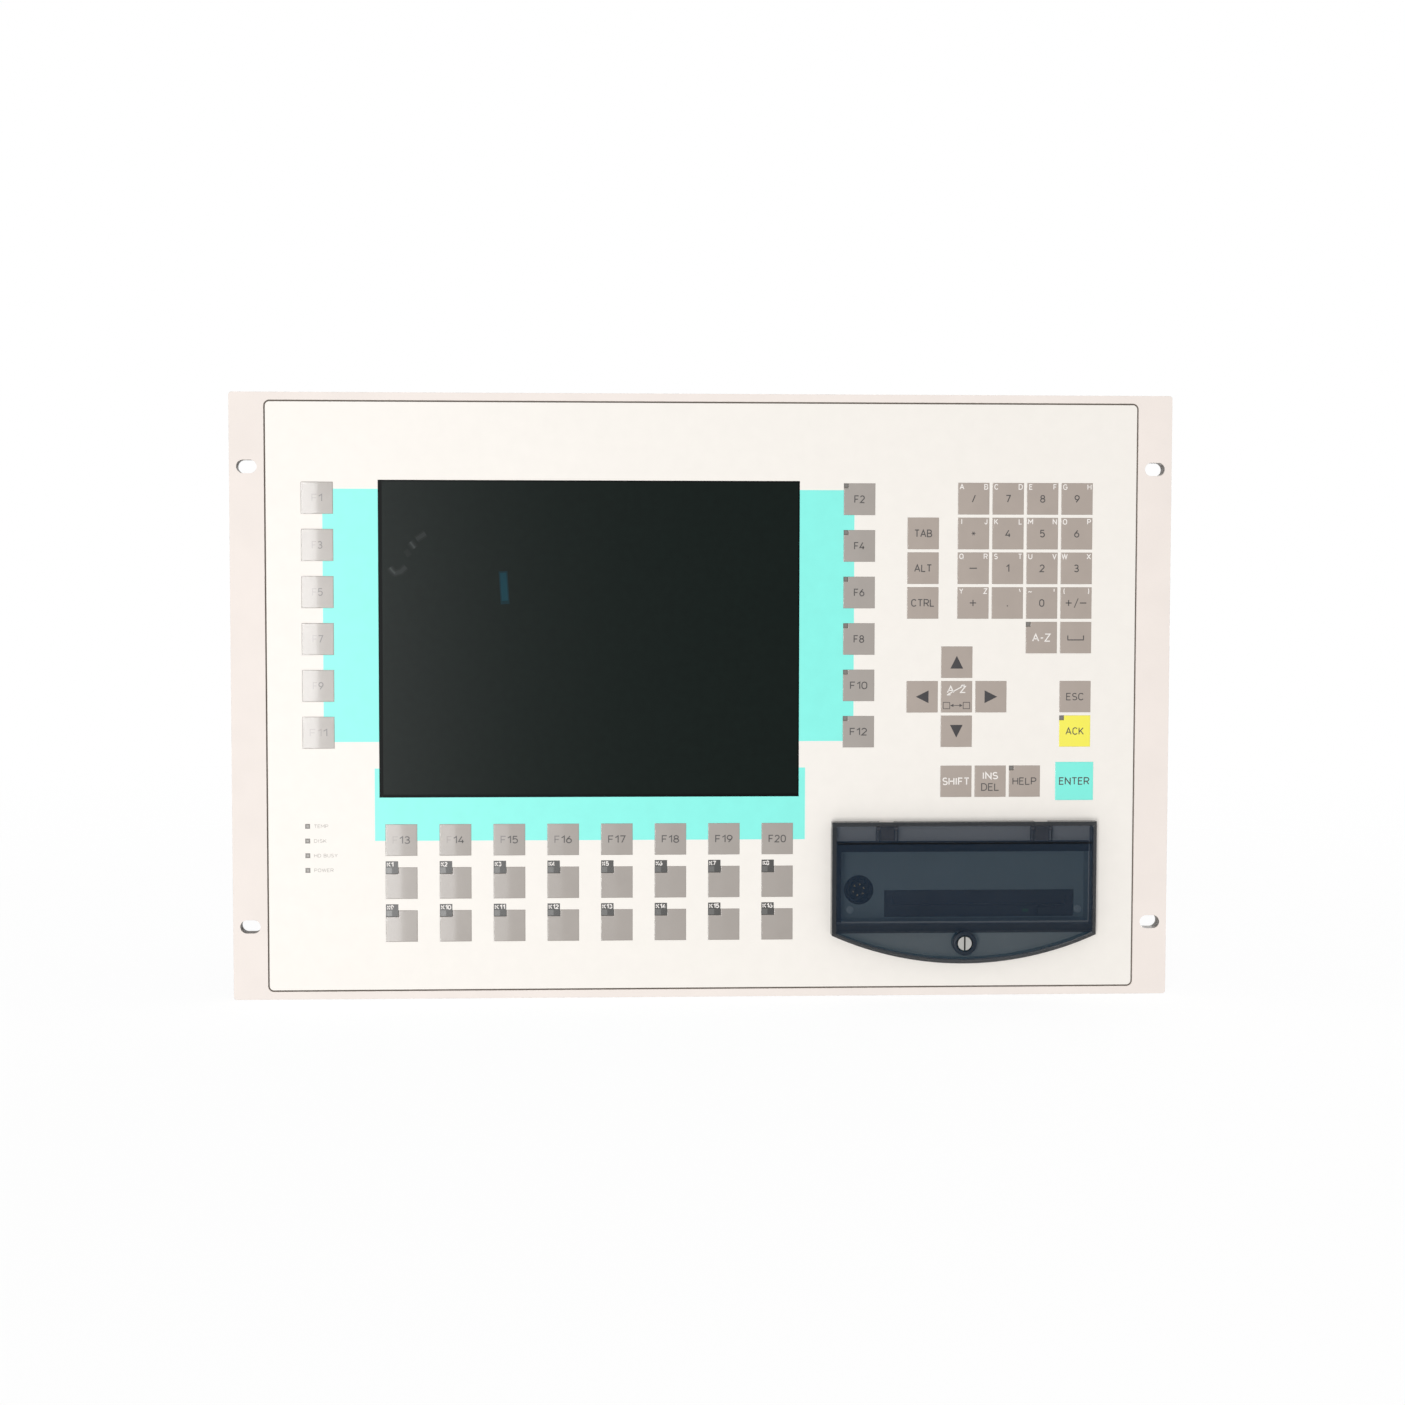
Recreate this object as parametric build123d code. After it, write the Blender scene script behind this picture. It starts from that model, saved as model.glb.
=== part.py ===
from build123d import *
import os

# Operator panel for a 19-inch rack: a front plate with membrane keys, a display, a disk drive
# behind a flap, and a sheet-metal housing with its boards. Sizes are in millimetres.
# X runs right as seen from the front, Z runs up, and the front looks along -Y.
# The origin is the centre of the rack slots, on the plate's rear face.

overrun = 1.0

# Front plate
plate_width = 482.6
plate_height = 310.35
plate_thickness = 9.0
plate_corner = 1.6
slot_length = 10.3
slot_width = 6.8
slot_to_side = 8.75
slot_to_end = 37.7

# Keypad laminate, which lies in a recess of the plate
overlay_side_margin = 18.3
overlay_end_margin = 4.8
overlay_gap = 0.8
overlay_corner = 2.2
overlay_thickness = 2.2
overlay_sink = 0.05
circuit_thickness = 0.4
tail_width = 26.0
tail_length = 24.0
tail_slot_gap = 0.6

# Keys
key_size = 16.2
key_gap = 1.67
key_crown = 0.35
key_shoulder = 1.6
key_travel = 0.6
key_rest_gap = 0.1
enter_size = 19.8
window_gap = 0.15
dome_width = 8.0
dome_height = 0.35
dome_slope = 1.2
lamp_size = 2.3
tag_size = 6.4
tag_rise = 3.2
status_lamp_size = 2.5
status_lamp_pitch = 7.55
status_lamp_count = 4

# Places of the key groups
screen_x = -58.8
screen_z = 29.85
screen_width = 215.2
screen_height = 162.1
side_key_offset = 30.8
side_key_drop = 9.15
side_key_space = 7.72
side_key_count = 6
lower_key_drop = 21.9
lower_key_space = 11.4
lower_key_count = 8
lower_row_space = 6.0
block_x = 138.6
block_z = 102.2
cursor_x = 130.45
cursor_z = 0.15
shift_z = -43.7
status_drop = 7.25
status_x_from_keys = 5.9

# Display behind its window
pane_gap = 0.05
pane_ledge = 1.2
ledge_thickness = 1.5
lcd_width = 243.0
lcd_height = 184.0
lcd_thickness = 12.0
lcd_skin = 1.0
lcd_border = 2.2
lcd_cell_thickness = 2.6
lcd_pocket_gap = 1.0
bracket_sheet = 1.2
bracket_foot = 12.0
bracket_band = 26.0
board_thickness = 1.6
standoff_radius = 3.0
power_standoff = 8.0
power_height = 90.0
board_part_height = 18.0
power_part_shares = [
    (0.18, 0.60, 0.22, 0.42, 1.0),
    (0.52, 0.70, 0.16, 0.26, 0.8),
    (0.52, 0.30, 0.16, 0.26, 0.8),
    (0.80, 0.52, 0.18, 0.52, 0.5),
]
main_standoff = 10.0
main_width = 250.0
main_height = 170.0
main_x = -60.0
main_z = 10.0
standoff_inset = 7.0
main_part_shares = [
    (0.30, 0.62, 0.16, 0.24, 0.45),
    (0.54, 0.66, 0.12, 0.18, 0.2),
    (0.54, 0.40, 0.12, 0.18, 0.2),
    (0.78, 0.56, 0.18, 0.44, 0.3),
    (0.12, 0.40, 0.08, 0.30, 0.6),
]

# Housing behind the plate
housing_width = 416.0
housing_height = 268.0
housing_depth = 138.0
housing_sheet = 1.2
housing_flange = 8.0
cover_sheet = 1.5
gasket_gap = 1.0
gasket_width = 6.0
gasket_thickness = 3.0
vent_length = 42.0
vent_width = 3.2
vent_pitch = 7.0
vent_count = 22
vent_from_back = 18.0
cover_vent_count = 14
cover_vent_x = 120.0
cover_vent_z = 70.0
screw_radius = 2.0
screw_head_radius = 3.6
screw_head_height = 2.4
screw_hole_gap = 0.05
screw_grip = 5.0
side_screw_count = 3
end_screw_count = 4

# Connectors on the main board, which reach through the rear cover
connector_rise = 25.0
connector_flange = 1.0
connector_flange_side = 7.0
connector_flange_end = 1.9
connector_proud = 5.6
connector_gap = 0.4
connector_shell_height = 8.6
connector_space = 12.0
port_widths = [17.0, 17.0, 25.3, 39.0]
terminal_width = 24.0
terminal_height = 15.0

# Compartment behind the flap
tray_left = 71.0
tray_width = 129.1
tray_top = -80.0
tray_height = 36.6
tray_depth = 12.0
tray_wall = 2.0
tray_fit_gap = 0.5
tray_flange_side = 2.0
tray_flange_top = 14.6
tray_flange_bottom = 3.0
ear_width = 7.0
ear_drop = 6.2
ear_radius = 1.75
ear_spacing = 80.2
tray_screw_left = 6.0
tray_screw_right = 3.1
tray_screw_rise = 4.5
tray_screw_radius = 1.2
tray_screw_head = 2.1
tray_screw_proud = 0.9

# Disk drive and keyboard socket
drive_width = 96.0
drive_height = 12.7
drive_depth = 126.0
drive_x = 145.0
drive_z = -109.0
bezel_side = 1.7
bezel_end = 0.5
bezel_thickness = 3.0
bezel_sink = 0.3
bezel_gap = 0.3
disk_width = 91.4
disk_height = 4.8
disk_depth = 95.0
disk_rise = 1.6
shutter_skin = 0.6
shutter_sheet = 0.8
shutter_gap = 0.3
shutter_swing_room = 0.05
button_width = 9.0
button_height = 3.6
button_length = 6.0
button_travel = 2.5
button_proud = 1.5
button_inset = 8.0
button_gap = 0.2
socket_x = 81.6
socket_z = -101.6
socket_radius = 7.65
socket_proud = 0.5
socket_depth = 14.0
socket_bore = 6.4
socket_core = 4.7
socket_core_sink = 1.0
socket_bore_depth = 8.0
socket_fit = 0.05

# Flap over the compartment
flap_width = 137.2
flap_x = 134.2
flap_top = -64.1
flap_side_height = 58.7
flap_arch = 14.75
flap_proud = 9.5
flap_gap = 0.3
flap_wall = 2.2
flap_side_wall = 2.3
flap_top_wall = 1.6
flap_bevel = 2.0
flap_groove = 0.9
flap_groove_depth = 0.8
flap_groove_drop = 10.8
flap_groove_inset = 2.6
flap_rib_drop = 53.2
flap_rib = 4.3
hinge_drop = 3.4
hinge_proud = 5.2
hinge_back_reach = 3.5
pin_radius = 1.2
pin_play = 0.05
cheek_width = 1.7
cheek_gap = 0.3
cheek_reach = 2.4
cheek_drop = 6.6

# Captive screw in the flap
lock_drop = 62.7
boss_radius = 6.3
boss_rise = 0.5
boss_length = 3.0
lock_head_radius = 3.55
lock_head_height = 2.6
lock_sink_gap = 0.55
lock_radius = 2.0
lock_hole_gap = 0.6
lock_reach = 4.0
lock_socket_gap = 0.9
lock_socket_depth = 6.0
lock_slot_width = 0.8
lock_slot_depth = 1.2
ring_radius = 3.6
ring_thickness = 0.8
ring_to_overlay = 0.45

# Depths that follow from these sizes
plate_front = -plate_thickness
overlay_front = plate_front + overlay_sink
circuit_front = overlay_front + overlay_thickness
recess_floor = circuit_front + circuit_thickness
key_back = circuit_front - dome_height - key_travel - key_rest_gap
lcd_front = recess_floor + ledge_thickness
lcd_back = lcd_front + lcd_thickness
bracket_back = lcd_back + bracket_sheet
cover_back = housing_depth + cover_sheet
main_back = housing_depth - main_standoff
connector_z = main_z - main_height / 2 + connector_rise
floor_front = overlay_front + tray_depth
floor_back = floor_front + tray_wall
flap_front = plate_front - flap_proud
flap_inner = flap_front + flap_wall
flap_back = plate_front - flap_gap
hinge_y = plate_front - hinge_proud
hinge_z = flap_top - hinge_drop
lock_z = flap_top - lock_drop

# Places that follow from these sizes
key_pitch = key_size + key_gap
screen_left = screen_x - screen_width / 2
screen_right = screen_x + screen_width / 2
screen_top = screen_z + screen_height / 2
screen_bottom = screen_z - screen_height / 2
overlay_width = plate_width - 2 * overlay_side_margin
overlay_height = plate_height - 2 * overlay_end_margin
tray_right = tray_left + tray_width
tray_bottom = tray_top - tray_height
block_columns = [block_x + step * key_pitch for step in range(4)]
block_rows = [block_z - step * key_pitch for step in range(5)]
side_key_top = screen_top - side_key_drop
side_key_pitch = key_size + side_key_space
side_key_rows = [side_key_top - step * side_key_pitch for step in range(side_key_count)]
lower_pitch = key_size + lower_key_space
lower_start = screen_x - (lower_key_count - 1) / 2 * lower_pitch
lower_columns = [lower_start + step * lower_pitch for step in range(lower_key_count)]
lower_row_top = screen_bottom - lower_key_drop
lower_rows = [lower_row_top - step * (key_size + lower_row_space) for step in range(3)]
left_keys_x = screen_left - side_key_offset
right_keys_x = screen_right + side_key_offset


def slab(left, right, front, back, low, high):
    """A box given by its limits."""
    middle = Pos((left + right) / 2, (front + back) / 2, (low + high) / 2)
    return middle * Box(right - left, back - front, high - low)


def block(x, z, width, height, front, back):
    """A box centred on x and z, between two depths."""
    return slab(x - width / 2, x + width / 2, front, back, z - height / 2, z + height / 2)


def front_plane(x, y, z):
    """A plane that looks out of the front, with its own Y upwards."""
    return Plane(origin=(x, y, z), x_dir=(1, 0, 0), z_dir=(0, -1, 0))


def side_plane(x, y, z):
    """A plane that looks along +X, with its own X to the rear and its own Y upwards."""
    return Plane(origin=(x, y, z), x_dir=(0, 1, 0), z_dir=(1, 0, 0))


def rod(x, z, radius, front, back):
    return extrude(front_plane(x, back, z) * Circle(radius), back - front)


def cross_rod(left, right, y, z, radius):
    return extrude(side_plane(left, y, z) * Circle(radius), right - left)


def rounded_block(x, z, width, height, corner, front, back):
    return extrude(front_plane(x, back, z) * RectangleRounded(width, height, corner), back - front)


def screw(x, z, seat, grip, radius, head_radius, head_height):
    """A pan-head screw from the rear: its head stands on seat and its shank points to the front."""
    return rod(x, z, radius, seat - grip, seat) + rod(x, z, head_radius, seat, seat + head_height)


def spread(centre, width, count):
    """Evenly spaced places over a width, from one end to the other."""
    return [centre - width / 2 + step * width / (count - 1) for step in range(count)]


# Keys: the name of each key, its centre, its size and what cuts into its upper left corner
single_keys = {}
block_names = [
    ["slash", "7", "8", "9"],
    ["star", "4", "5", "6"],
    ["minus", "1", "2", "3"],
    ["plus", "point", "0", "plus_minus"],
]
for row_names, row_z in zip(block_names, block_rows):
    for key_name, column_x in zip(row_names, block_columns):
        single_keys["key_" + key_name] = (column_x, row_z, key_size, None)
single_keys["key_letters"] = (block_columns[2], block_rows[4], key_size, "lamp")
single_keys["key_space"] = (block_columns[3], block_rows[4], key_size, None)
single_keys["key_up"] = (cursor_x, cursor_z + key_pitch, key_size, None)
single_keys["key_left"] = (cursor_x - key_pitch, cursor_z, key_size, None)
single_keys["key_centre"] = (cursor_x, cursor_z, key_size, None)
single_keys["key_right"] = (cursor_x + key_pitch, cursor_z, key_size, None)
single_keys["key_down"] = (cursor_x, cursor_z - key_pitch, key_size, None)
single_keys["key_esc"] = (block_columns[3], cursor_z, key_size, None)
single_keys["key_ack"] = (block_columns[3], cursor_z - key_pitch, key_size, "lamp")
single_keys["key_shift"] = (cursor_x, shift_z, key_size, None)
single_keys["key_ins_del"] = (cursor_x + key_pitch, shift_z, key_size, None)
single_keys["key_help"] = (cursor_x + 2 * key_pitch, shift_z, key_size, "lamp")
single_keys["key_enter"] = (block_columns[3], shift_z, enter_size, None)

key_groups = {
    "keys_tab_alt_ctrl": [(cursor_x - key_pitch, z, key_size, None) for z in block_rows[1:4]],
    "keys_left_column": [(left_keys_x, z, key_size, None) for z in side_key_rows],
    "keys_right_column": [(right_keys_x, z, key_size, "lamp") for z in side_key_rows],
    "keys_lower_row": [(x, lower_rows[0], key_size, None) for x in lower_columns],
    "keys_upper_k_row": [(x, lower_rows[1], key_size, "tag") for x in lower_columns],
    "keys_lower_k_row": [(x, lower_rows[2], key_size, "tag") for x in lower_columns],
}
for single_name, single_key in single_keys.items():
    key_groups[single_name] = [single_key]
all_keys = [key for group in key_groups.values() for key in group]


def corner_mark(x, z, size, mark, margin, front, back):
    """The lamp window or tag in a key's upper left corner, grown by a margin."""
    left = x - size / 2
    top = z + size / 2
    mark_size = lamp_size if mark == "lamp" else tag_size
    rise = 0 if mark == "lamp" else tag_rise
    low = top + rise - mark_size
    return slab(left - margin, left + mark_size + margin, front, back, low - margin, top + rise + margin)


def key_pad(x, z, size, mark):
    """A key pad: a square block with a low bevelled crown."""
    pad = block(x, z, size, size, overlay_front, key_back)
    crown_top = size - 2 * key_shoulder
    crown = loft([
        front_plane(x, overlay_front, z) * Rectangle(size, size),
        front_plane(x, overlay_front - key_crown, z) * Rectangle(crown_top, crown_top),
    ], ruled=True)
    pad += crown
    if mark:
        front = overlay_front - key_crown - overrun
        pad -= corner_mark(x, z, size, mark, window_gap, front, key_back + overrun)
    return pad


def key_windows():
    """What the overlay leaves open for the keys and for their tags."""
    front = overlay_front - overrun
    back = circuit_front + overrun
    windows = []
    for x, z, size, mark in all_keys:
        opening = size + 2 * window_gap
        windows.append(block(x, z, opening, opening, front, back))
        if mark == "tag":
            windows.append(corner_mark(x, z, size, mark, window_gap, front, back))
    return windows


def status_lamp_places():
    x = left_keys_x - status_x_from_keys
    top = lower_rows[0] + status_drop
    return [(x, top - step * status_lamp_pitch) for step in range(status_lamp_count)]


def tray_flange_limits():
    left = tray_left - tray_flange_side
    right = tray_right + tray_flange_side
    return left, right, tray_bottom - tray_flange_bottom, tray_top + tray_flange_top


def ear_centres():
    return [flap_x - ear_spacing / 2, flap_x + ear_spacing / 2]


def frame_screw_places():
    """Screws that hold the housing's front flange to the plate."""
    side_x = (housing_width + housing_flange) / 2
    end_z = (housing_height + housing_flange) / 2
    places = []
    for z in spread(0, housing_height, side_screw_count):
        places += [(-side_x, z), (side_x, z)]
    for x in spread(0, housing_width, end_screw_count + 2)[1:-1]:
        places += [(x, -end_z), (x, end_z)]
    return places


def cover_screw_places():
    """Screws that hold the rear cover to the housing's rear lip."""
    side_x = (housing_width - housing_flange) / 2 - housing_sheet
    end_z = (housing_height - housing_flange) / 2 - housing_sheet
    places = []
    for z in spread(0, 2 * end_z, side_screw_count):
        places += [(-side_x, z), (side_x, z)]
    for x in spread(0, 2 * side_x, end_screw_count)[1:-1]:
        places += [(x, -end_z), (x, end_z)]
    return places


def board_corners(x, z, width, height):
    reach_x = width / 2 - standoff_inset
    reach_z = height / 2 - standoff_inset
    return [(x + side * reach_x, z + end * reach_z) for side in (-1, 1) for end in (-1, 1)]


def bracket_foot_places():
    """Where the display bracket's four feet stand on the plate."""
    reach = (lcd_width + bracket_foot) / 2 + lcd_pocket_gap + bracket_sheet
    end = lcd_height / 2 - bracket_band / 2
    return [(screen_x + side * reach, screen_z + step * end, side) for side in (-1, 1) for step in (-1, 1)]


def connector_row():
    """Middle, width and height of each D-shaped port and of the power terminal, along one row."""
    sizes = [(width, connector_shell_height) for width in port_widths] + [(terminal_width, terminal_height)]
    step = connector_space + 2 * connector_flange_side
    total = sum(width for width, height in sizes) + (len(sizes) - 1) * step
    left = main_x - total / 2
    row = []
    for width, height in sizes:
        row.append((left + width / 2, width, height))
        left += width + step
    return row


def make_front_plate():
    plate = rounded_block(0, 0, plate_width, plate_height, plate_corner, plate_front, 0)
    recess = rounded_block(
        0, 0, overlay_width + 2 * overlay_gap, overlay_height + 2 * overlay_gap,
        overlay_corner + overlay_gap, plate_front - overrun, recess_floor)
    window = block(
        screen_x, screen_z, screen_width - 2 * pane_ledge, screen_height - 2 * pane_ledge,
        recess_floor - overrun, lcd_front + overrun)
    pocket = block(
        screen_x, screen_z, lcd_width + 2 * lcd_pocket_gap, lcd_height + 2 * lcd_pocket_gap,
        lcd_front, overrun)
    room = tray_wall + tray_fit_gap
    tray_hole = slab(
        tray_left - room, tray_right + room, recess_floor - overrun, overrun,
        tray_bottom - room, tray_top + room)
    cuts = [recess, window, pocket, tray_hole, tail_slot(recess_floor - overrun, overrun)]
    slot_x = plate_width / 2 - slot_to_side
    slot_z = plate_height / 2 - slot_to_end
    for x in (-slot_x, slot_x):
        for z in (-slot_z, slot_z):
            slot = front_plane(x, overrun, z) * SlotOverall(slot_length, slot_width)
            cuts.append(extrude(slot, plate_thickness + 2 * overrun))
    hole_back = plate_front + lock_socket_depth
    cuts.append(rod(flap_x, lock_z, lock_radius + lock_socket_gap, recess_floor - overrun, hole_back))
    for x, z in frame_screw_places():
        depth = screw_grip - housing_sheet + screw_hole_gap
        cuts.append(rod(x, z, screw_radius + screw_hole_gap, -depth, overrun))
    for x, z, side in bracket_foot_places():
        depth = screw_grip - bracket_sheet + screw_hole_gap
        cuts.append(rod(x, z, screw_radius + screw_hole_gap, -depth, overrun))
    return plate - cuts


def tail_slot(front, back):
    """Slot through which the keypad's ribbon tail reaches the boards."""
    width = tail_width + 2 * tail_slot_gap
    height = circuit_thickness + 2 * tail_slot_gap
    return block(tail_x(), tail_z(), width, height, front, back)


def tail_x():
    return (right_keys_x + cursor_x - key_pitch) / 2


def tail_z():
    return cursor_z - 1.5 * key_pitch


def screen_opening(front, back):
    return block(screen_x, screen_z, screen_width + 2 * pane_gap, screen_height + 2 * pane_gap, front, back)


def make_overlay_foil():
    foil = rounded_block(0, 0, overlay_width, overlay_height, overlay_corner, overlay_front, circuit_front)
    front = overlay_front - overrun
    back = circuit_front + overrun
    cuts = key_windows()
    cuts.append(screen_opening(front, back))
    for x, z in status_lamp_places():
        cuts.append(block(x, z, status_lamp_size, status_lamp_size, front, back))
    left, right, low, high = tray_flange_limits()
    cuts.append(slab(left, right, front, back, low, high))
    cuts.append(rod(flap_x, lock_z, lock_radius + lock_socket_gap, front, back))
    return foil - cuts


def make_keypad_circuit():
    """Printed circuit sheet under the overlay, with its ribbon tail bent to the rear."""
    sheet = rounded_block(0, 0, overlay_width, overlay_height, overlay_corner, circuit_front, recess_floor)
    front = circuit_front - overrun
    back = recess_floor + overrun
    left, right, low, high = tray_flange_limits()
    sheet -= [
        screen_opening(front, back),
        slab(left, right, front, back, low, high),
        rod(flap_x, lock_z, lock_radius + lock_socket_gap, front, back),
    ]
    tail_back = recess_floor + tail_length
    return sheet + block(tail_x(), tail_z(), tail_width, circuit_thickness, circuit_front, tail_back)


def make_snap_domes():
    """A low four-sided contact dome under each key."""
    domes = []
    for x, z, size, mark in all_keys:
        top_width = dome_width - 2 * dome_slope
        domes.append(loft([
            front_plane(x, circuit_front, z) * Rectangle(dome_width, dome_width),
            front_plane(x, circuit_front - dome_height, z) * Rectangle(top_width, top_width),
        ], ruled=True))
    return domes


def make_indicator_windows():
    """Fixed lamp windows and number tags beside the keys, and the four status lamps."""
    marked = [key for key in all_keys if key[3]]
    windows = []
    for x, z, size, mark in marked:
        windows.append(corner_mark(x, z, size, mark, 0, overlay_front, circuit_front))
    for x, z in status_lamp_places():
        windows.append(block(x, z, status_lamp_size, status_lamp_size, overlay_front, circuit_front))
    return windows


def make_screen_pane():
    return block(screen_x, screen_z, screen_width, screen_height, overlay_front, recess_floor)


def make_lcd_cell():
    """The display's glass sandwich, inside the front of its metal frame."""
    width = lcd_width - 2 * lcd_skin
    height = lcd_height - 2 * lcd_skin
    front = lcd_front + lcd_skin
    return block(screen_x, screen_z, width, height, front, front + lcd_cell_thickness)


def make_lcd_frame():
    frame = block(screen_x, screen_z, lcd_width, lcd_height, lcd_front, lcd_back)
    width = lcd_width - 2 * lcd_skin
    height = lcd_height - 2 * lcd_skin
    cell_back = lcd_front + lcd_skin + lcd_cell_thickness
    cell_room = block(screen_x, screen_z, width, height, lcd_front + lcd_skin, cell_back)
    view_width = screen_width - 2 * lcd_border
    view_height = screen_height - 2 * lcd_border
    view = block(screen_x, screen_z, view_width, view_height, lcd_front - overrun, lcd_front + lcd_skin)
    return frame - [cell_room, view]


def make_display_bracket():
    """Sheet frame that presses the display to the plate, with the power board's standoffs."""
    reach = lcd_width / 2 + lcd_pocket_gap + bracket_sheet
    frame = slab(
        screen_x - reach, screen_x + reach, lcd_back, bracket_back,
        screen_z - lcd_height / 2, screen_z + lcd_height / 2)
    frame -= block(
        screen_x, screen_z, lcd_width - 2 * bracket_band, lcd_height - 2 * bracket_band,
        lcd_back - overrun, bracket_back + overrun)
    frame += block(screen_x, screen_z, bracket_band, lcd_height, lcd_back, bracket_back)
    for x, z, side in bracket_foot_places():
        wall_outer = screen_x + side * reach
        wall_inner = wall_outer - side * bracket_sheet
        left, right = sorted((wall_outer, wall_inner))
        low = z - bracket_band / 2
        high = z + bracket_band / 2
        frame += slab(left, right, 0, bracket_back, low, high)
        left, right = sorted((wall_inner, wall_outer + side * bracket_foot))
        foot = slab(left, right, 0, bracket_sheet, low, high)
        frame += foot - rod(x, z, screw_radius + screw_hole_gap, -overrun, bracket_sheet + overrun)
    solids = [frame]
    for x, z in power_board_corners():
        solids.append(rod(x, z, standoff_radius, bracket_back, bracket_back + power_standoff))
    return solids


def power_board_corners():
    reach = (lcd_width - bracket_band) / 2
    return [
        (screen_x - reach, screen_z + power_height / 2 - standoff_inset),
        (screen_x - reach, screen_z - power_height / 2 + standoff_inset),
        (screen_x, screen_z + power_height / 2 - standoff_inset),
        (screen_x, screen_z - power_height / 2 + standoff_inset),
    ]


def make_power_board():
    """Supply and lamp inverter board behind the display."""
    front = bracket_back + power_standoff
    back = front + board_thickness
    corners = power_board_corners()
    left = corners[0][0] - standoff_inset
    width = corners[2][0] + standoff_inset - left
    board = block(left + width / 2, screen_z, width, power_height, front, back)
    low = screen_z - power_height / 2
    return board + raised_parts(left, low, width, power_height, back, 1, power_part_shares)


def raised_parts(left, low, width, height, seat, side, shares):
    """Blocks on a board, at its rear (side 1) or front (side -1).

    Each row of shares gives a block's place and size on the board and its rise.
    """
    blocks = []
    for x_share, z_share, width_share, height_share, rise_share in shares:
        x = left + x_share * width
        z = low + z_share * height
        front, back = sorted((seat, seat + side * rise_share * board_part_height))
        blocks.append(block(x, z, width_share * width, height_share * height, front, back))
    return blocks


def make_main_board():
    """Processor board on the cover's standoffs, with its chips to the front."""
    front = main_back - board_thickness
    board = block(main_x, main_z, main_width, main_height, front, main_back)
    left = main_x - main_width / 2
    low = main_z - main_height / 2
    return board + raised_parts(left, low, main_width, main_height, front, -1, main_part_shares)


def make_rear_housing():
    """Sheet-metal tube with a flange on the plate, a lip for the cover and vent slots."""
    width = housing_width
    height = housing_height
    inner_width = width - 2 * housing_sheet
    inner_height = height - 2 * housing_sheet
    flange = block(0, 0, width + 2 * housing_flange, height + 2 * housing_flange, 0, housing_sheet)
    housing = flange + block(0, 0, width, height, 0, housing_depth)
    lip_front = housing_depth - housing_sheet
    lip_width = inner_width - 2 * housing_flange
    lip_height = inner_height - 2 * housing_flange
    cuts = [
        block(0, 0, inner_width, inner_height, -overrun, lip_front),
        block(0, 0, lip_width, lip_height, lip_front - overrun, housing_depth + overrun),
    ]
    vent_span = (vent_count - 1) * vent_pitch * 2
    vent_back = housing_depth - vent_from_back
    for x in spread(0, vent_span, vent_count):
        cuts.append(block(x, 0, vent_width, height + 2 * overrun, vent_back - vent_length, vent_back))
    for x, z in frame_screw_places():
        cuts.append(rod(x, z, screw_radius + screw_hole_gap, -overrun, housing_sheet + overrun))
    for x, z in cover_screw_places():
        cuts.append(rod(x, z, screw_radius + screw_hole_gap, lip_front - overrun, housing_depth + overrun))
    return housing - cuts


def make_rear_cover():
    """Rear sheet with vents, port openings and pressed-in standoffs for the main board."""
    cover = block(0, 0, housing_width, housing_height, housing_depth, cover_back)
    front = housing_depth - overrun
    back = cover_back + overrun
    cuts = []
    for x, width, height in connector_row():
        hole_width = width + 2 * connector_gap
        hole_height = height + 2 * connector_gap
        cuts.append(block(x, connector_z, hole_width, hole_height, front, back))
    for x in spread(cover_vent_x, (cover_vent_count - 1) * vent_pitch, cover_vent_count):
        cuts.append(block(x, cover_vent_z, vent_width, vent_length, front, back))
    for x, z in cover_screw_places():
        cuts.append(rod(x, z, screw_radius + screw_hole_gap, front, back))
    solids = [cover - cuts]
    for x, z in board_corners(main_x, main_z, main_width, main_height):
        solids.append(rod(x, z, standoff_radius, main_back, housing_depth))
    return solids


def make_rear_connectors():
    """Ports and a power terminal that stand on the main board and reach through the cover."""
    solids = []
    proud_back = cover_back + connector_proud
    base_back = housing_depth - connector_gap
    base_front = base_back - connector_flange
    for x, width, height in connector_row():
        shell = block(x, connector_z, width, height, main_back, proud_back)
        base_width = width + 2 * connector_flange_side
        base_height = height + 2 * connector_flange_end
        solids.append(shell + block(x, connector_z, base_width, base_height, base_front, base_back))
    return solids


def make_panel_gasket():
    """Foam seal on the plate's rear face, round the housing's flange."""
    inner_width = housing_width + 2 * housing_flange + 2 * gasket_gap
    inner_height = housing_height + 2 * housing_flange + 2 * gasket_gap
    outer_width = inner_width + 2 * gasket_width
    outer_height = inner_height + 2 * gasket_width
    outer = block(0, 0, outer_width, outer_height, 0, gasket_thickness)
    return outer - block(0, 0, inner_width, inner_height, -overrun, gasket_thickness + overrun)


def make_screws():
    """All screws: housing to plate, cover to housing, display bracket and compartment floor."""
    sizes = (screw_radius, screw_head_radius, screw_head_height)
    screws = [screw(x, z, housing_sheet, screw_grip, *sizes) for x, z in frame_screw_places()]
    screws += [screw(x, z, cover_back, screw_grip, *sizes) for x, z in cover_screw_places()]
    screws += [screw(x, z, bracket_sheet, screw_grip, *sizes) for x, z, side in bracket_foot_places()]
    for x, z in tray_screw_places():
        shank = rod(x, z, tray_screw_radius, floor_front, floor_back)
        screws.append(shank + rod(x, z, tray_screw_head, floor_front - tray_screw_proud, floor_front))
    return screws


def tray_screw_places():
    low = tray_bottom + tray_screw_rise
    return [(tray_left + tray_screw_left, low), (tray_right - tray_screw_right, low)]


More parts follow.
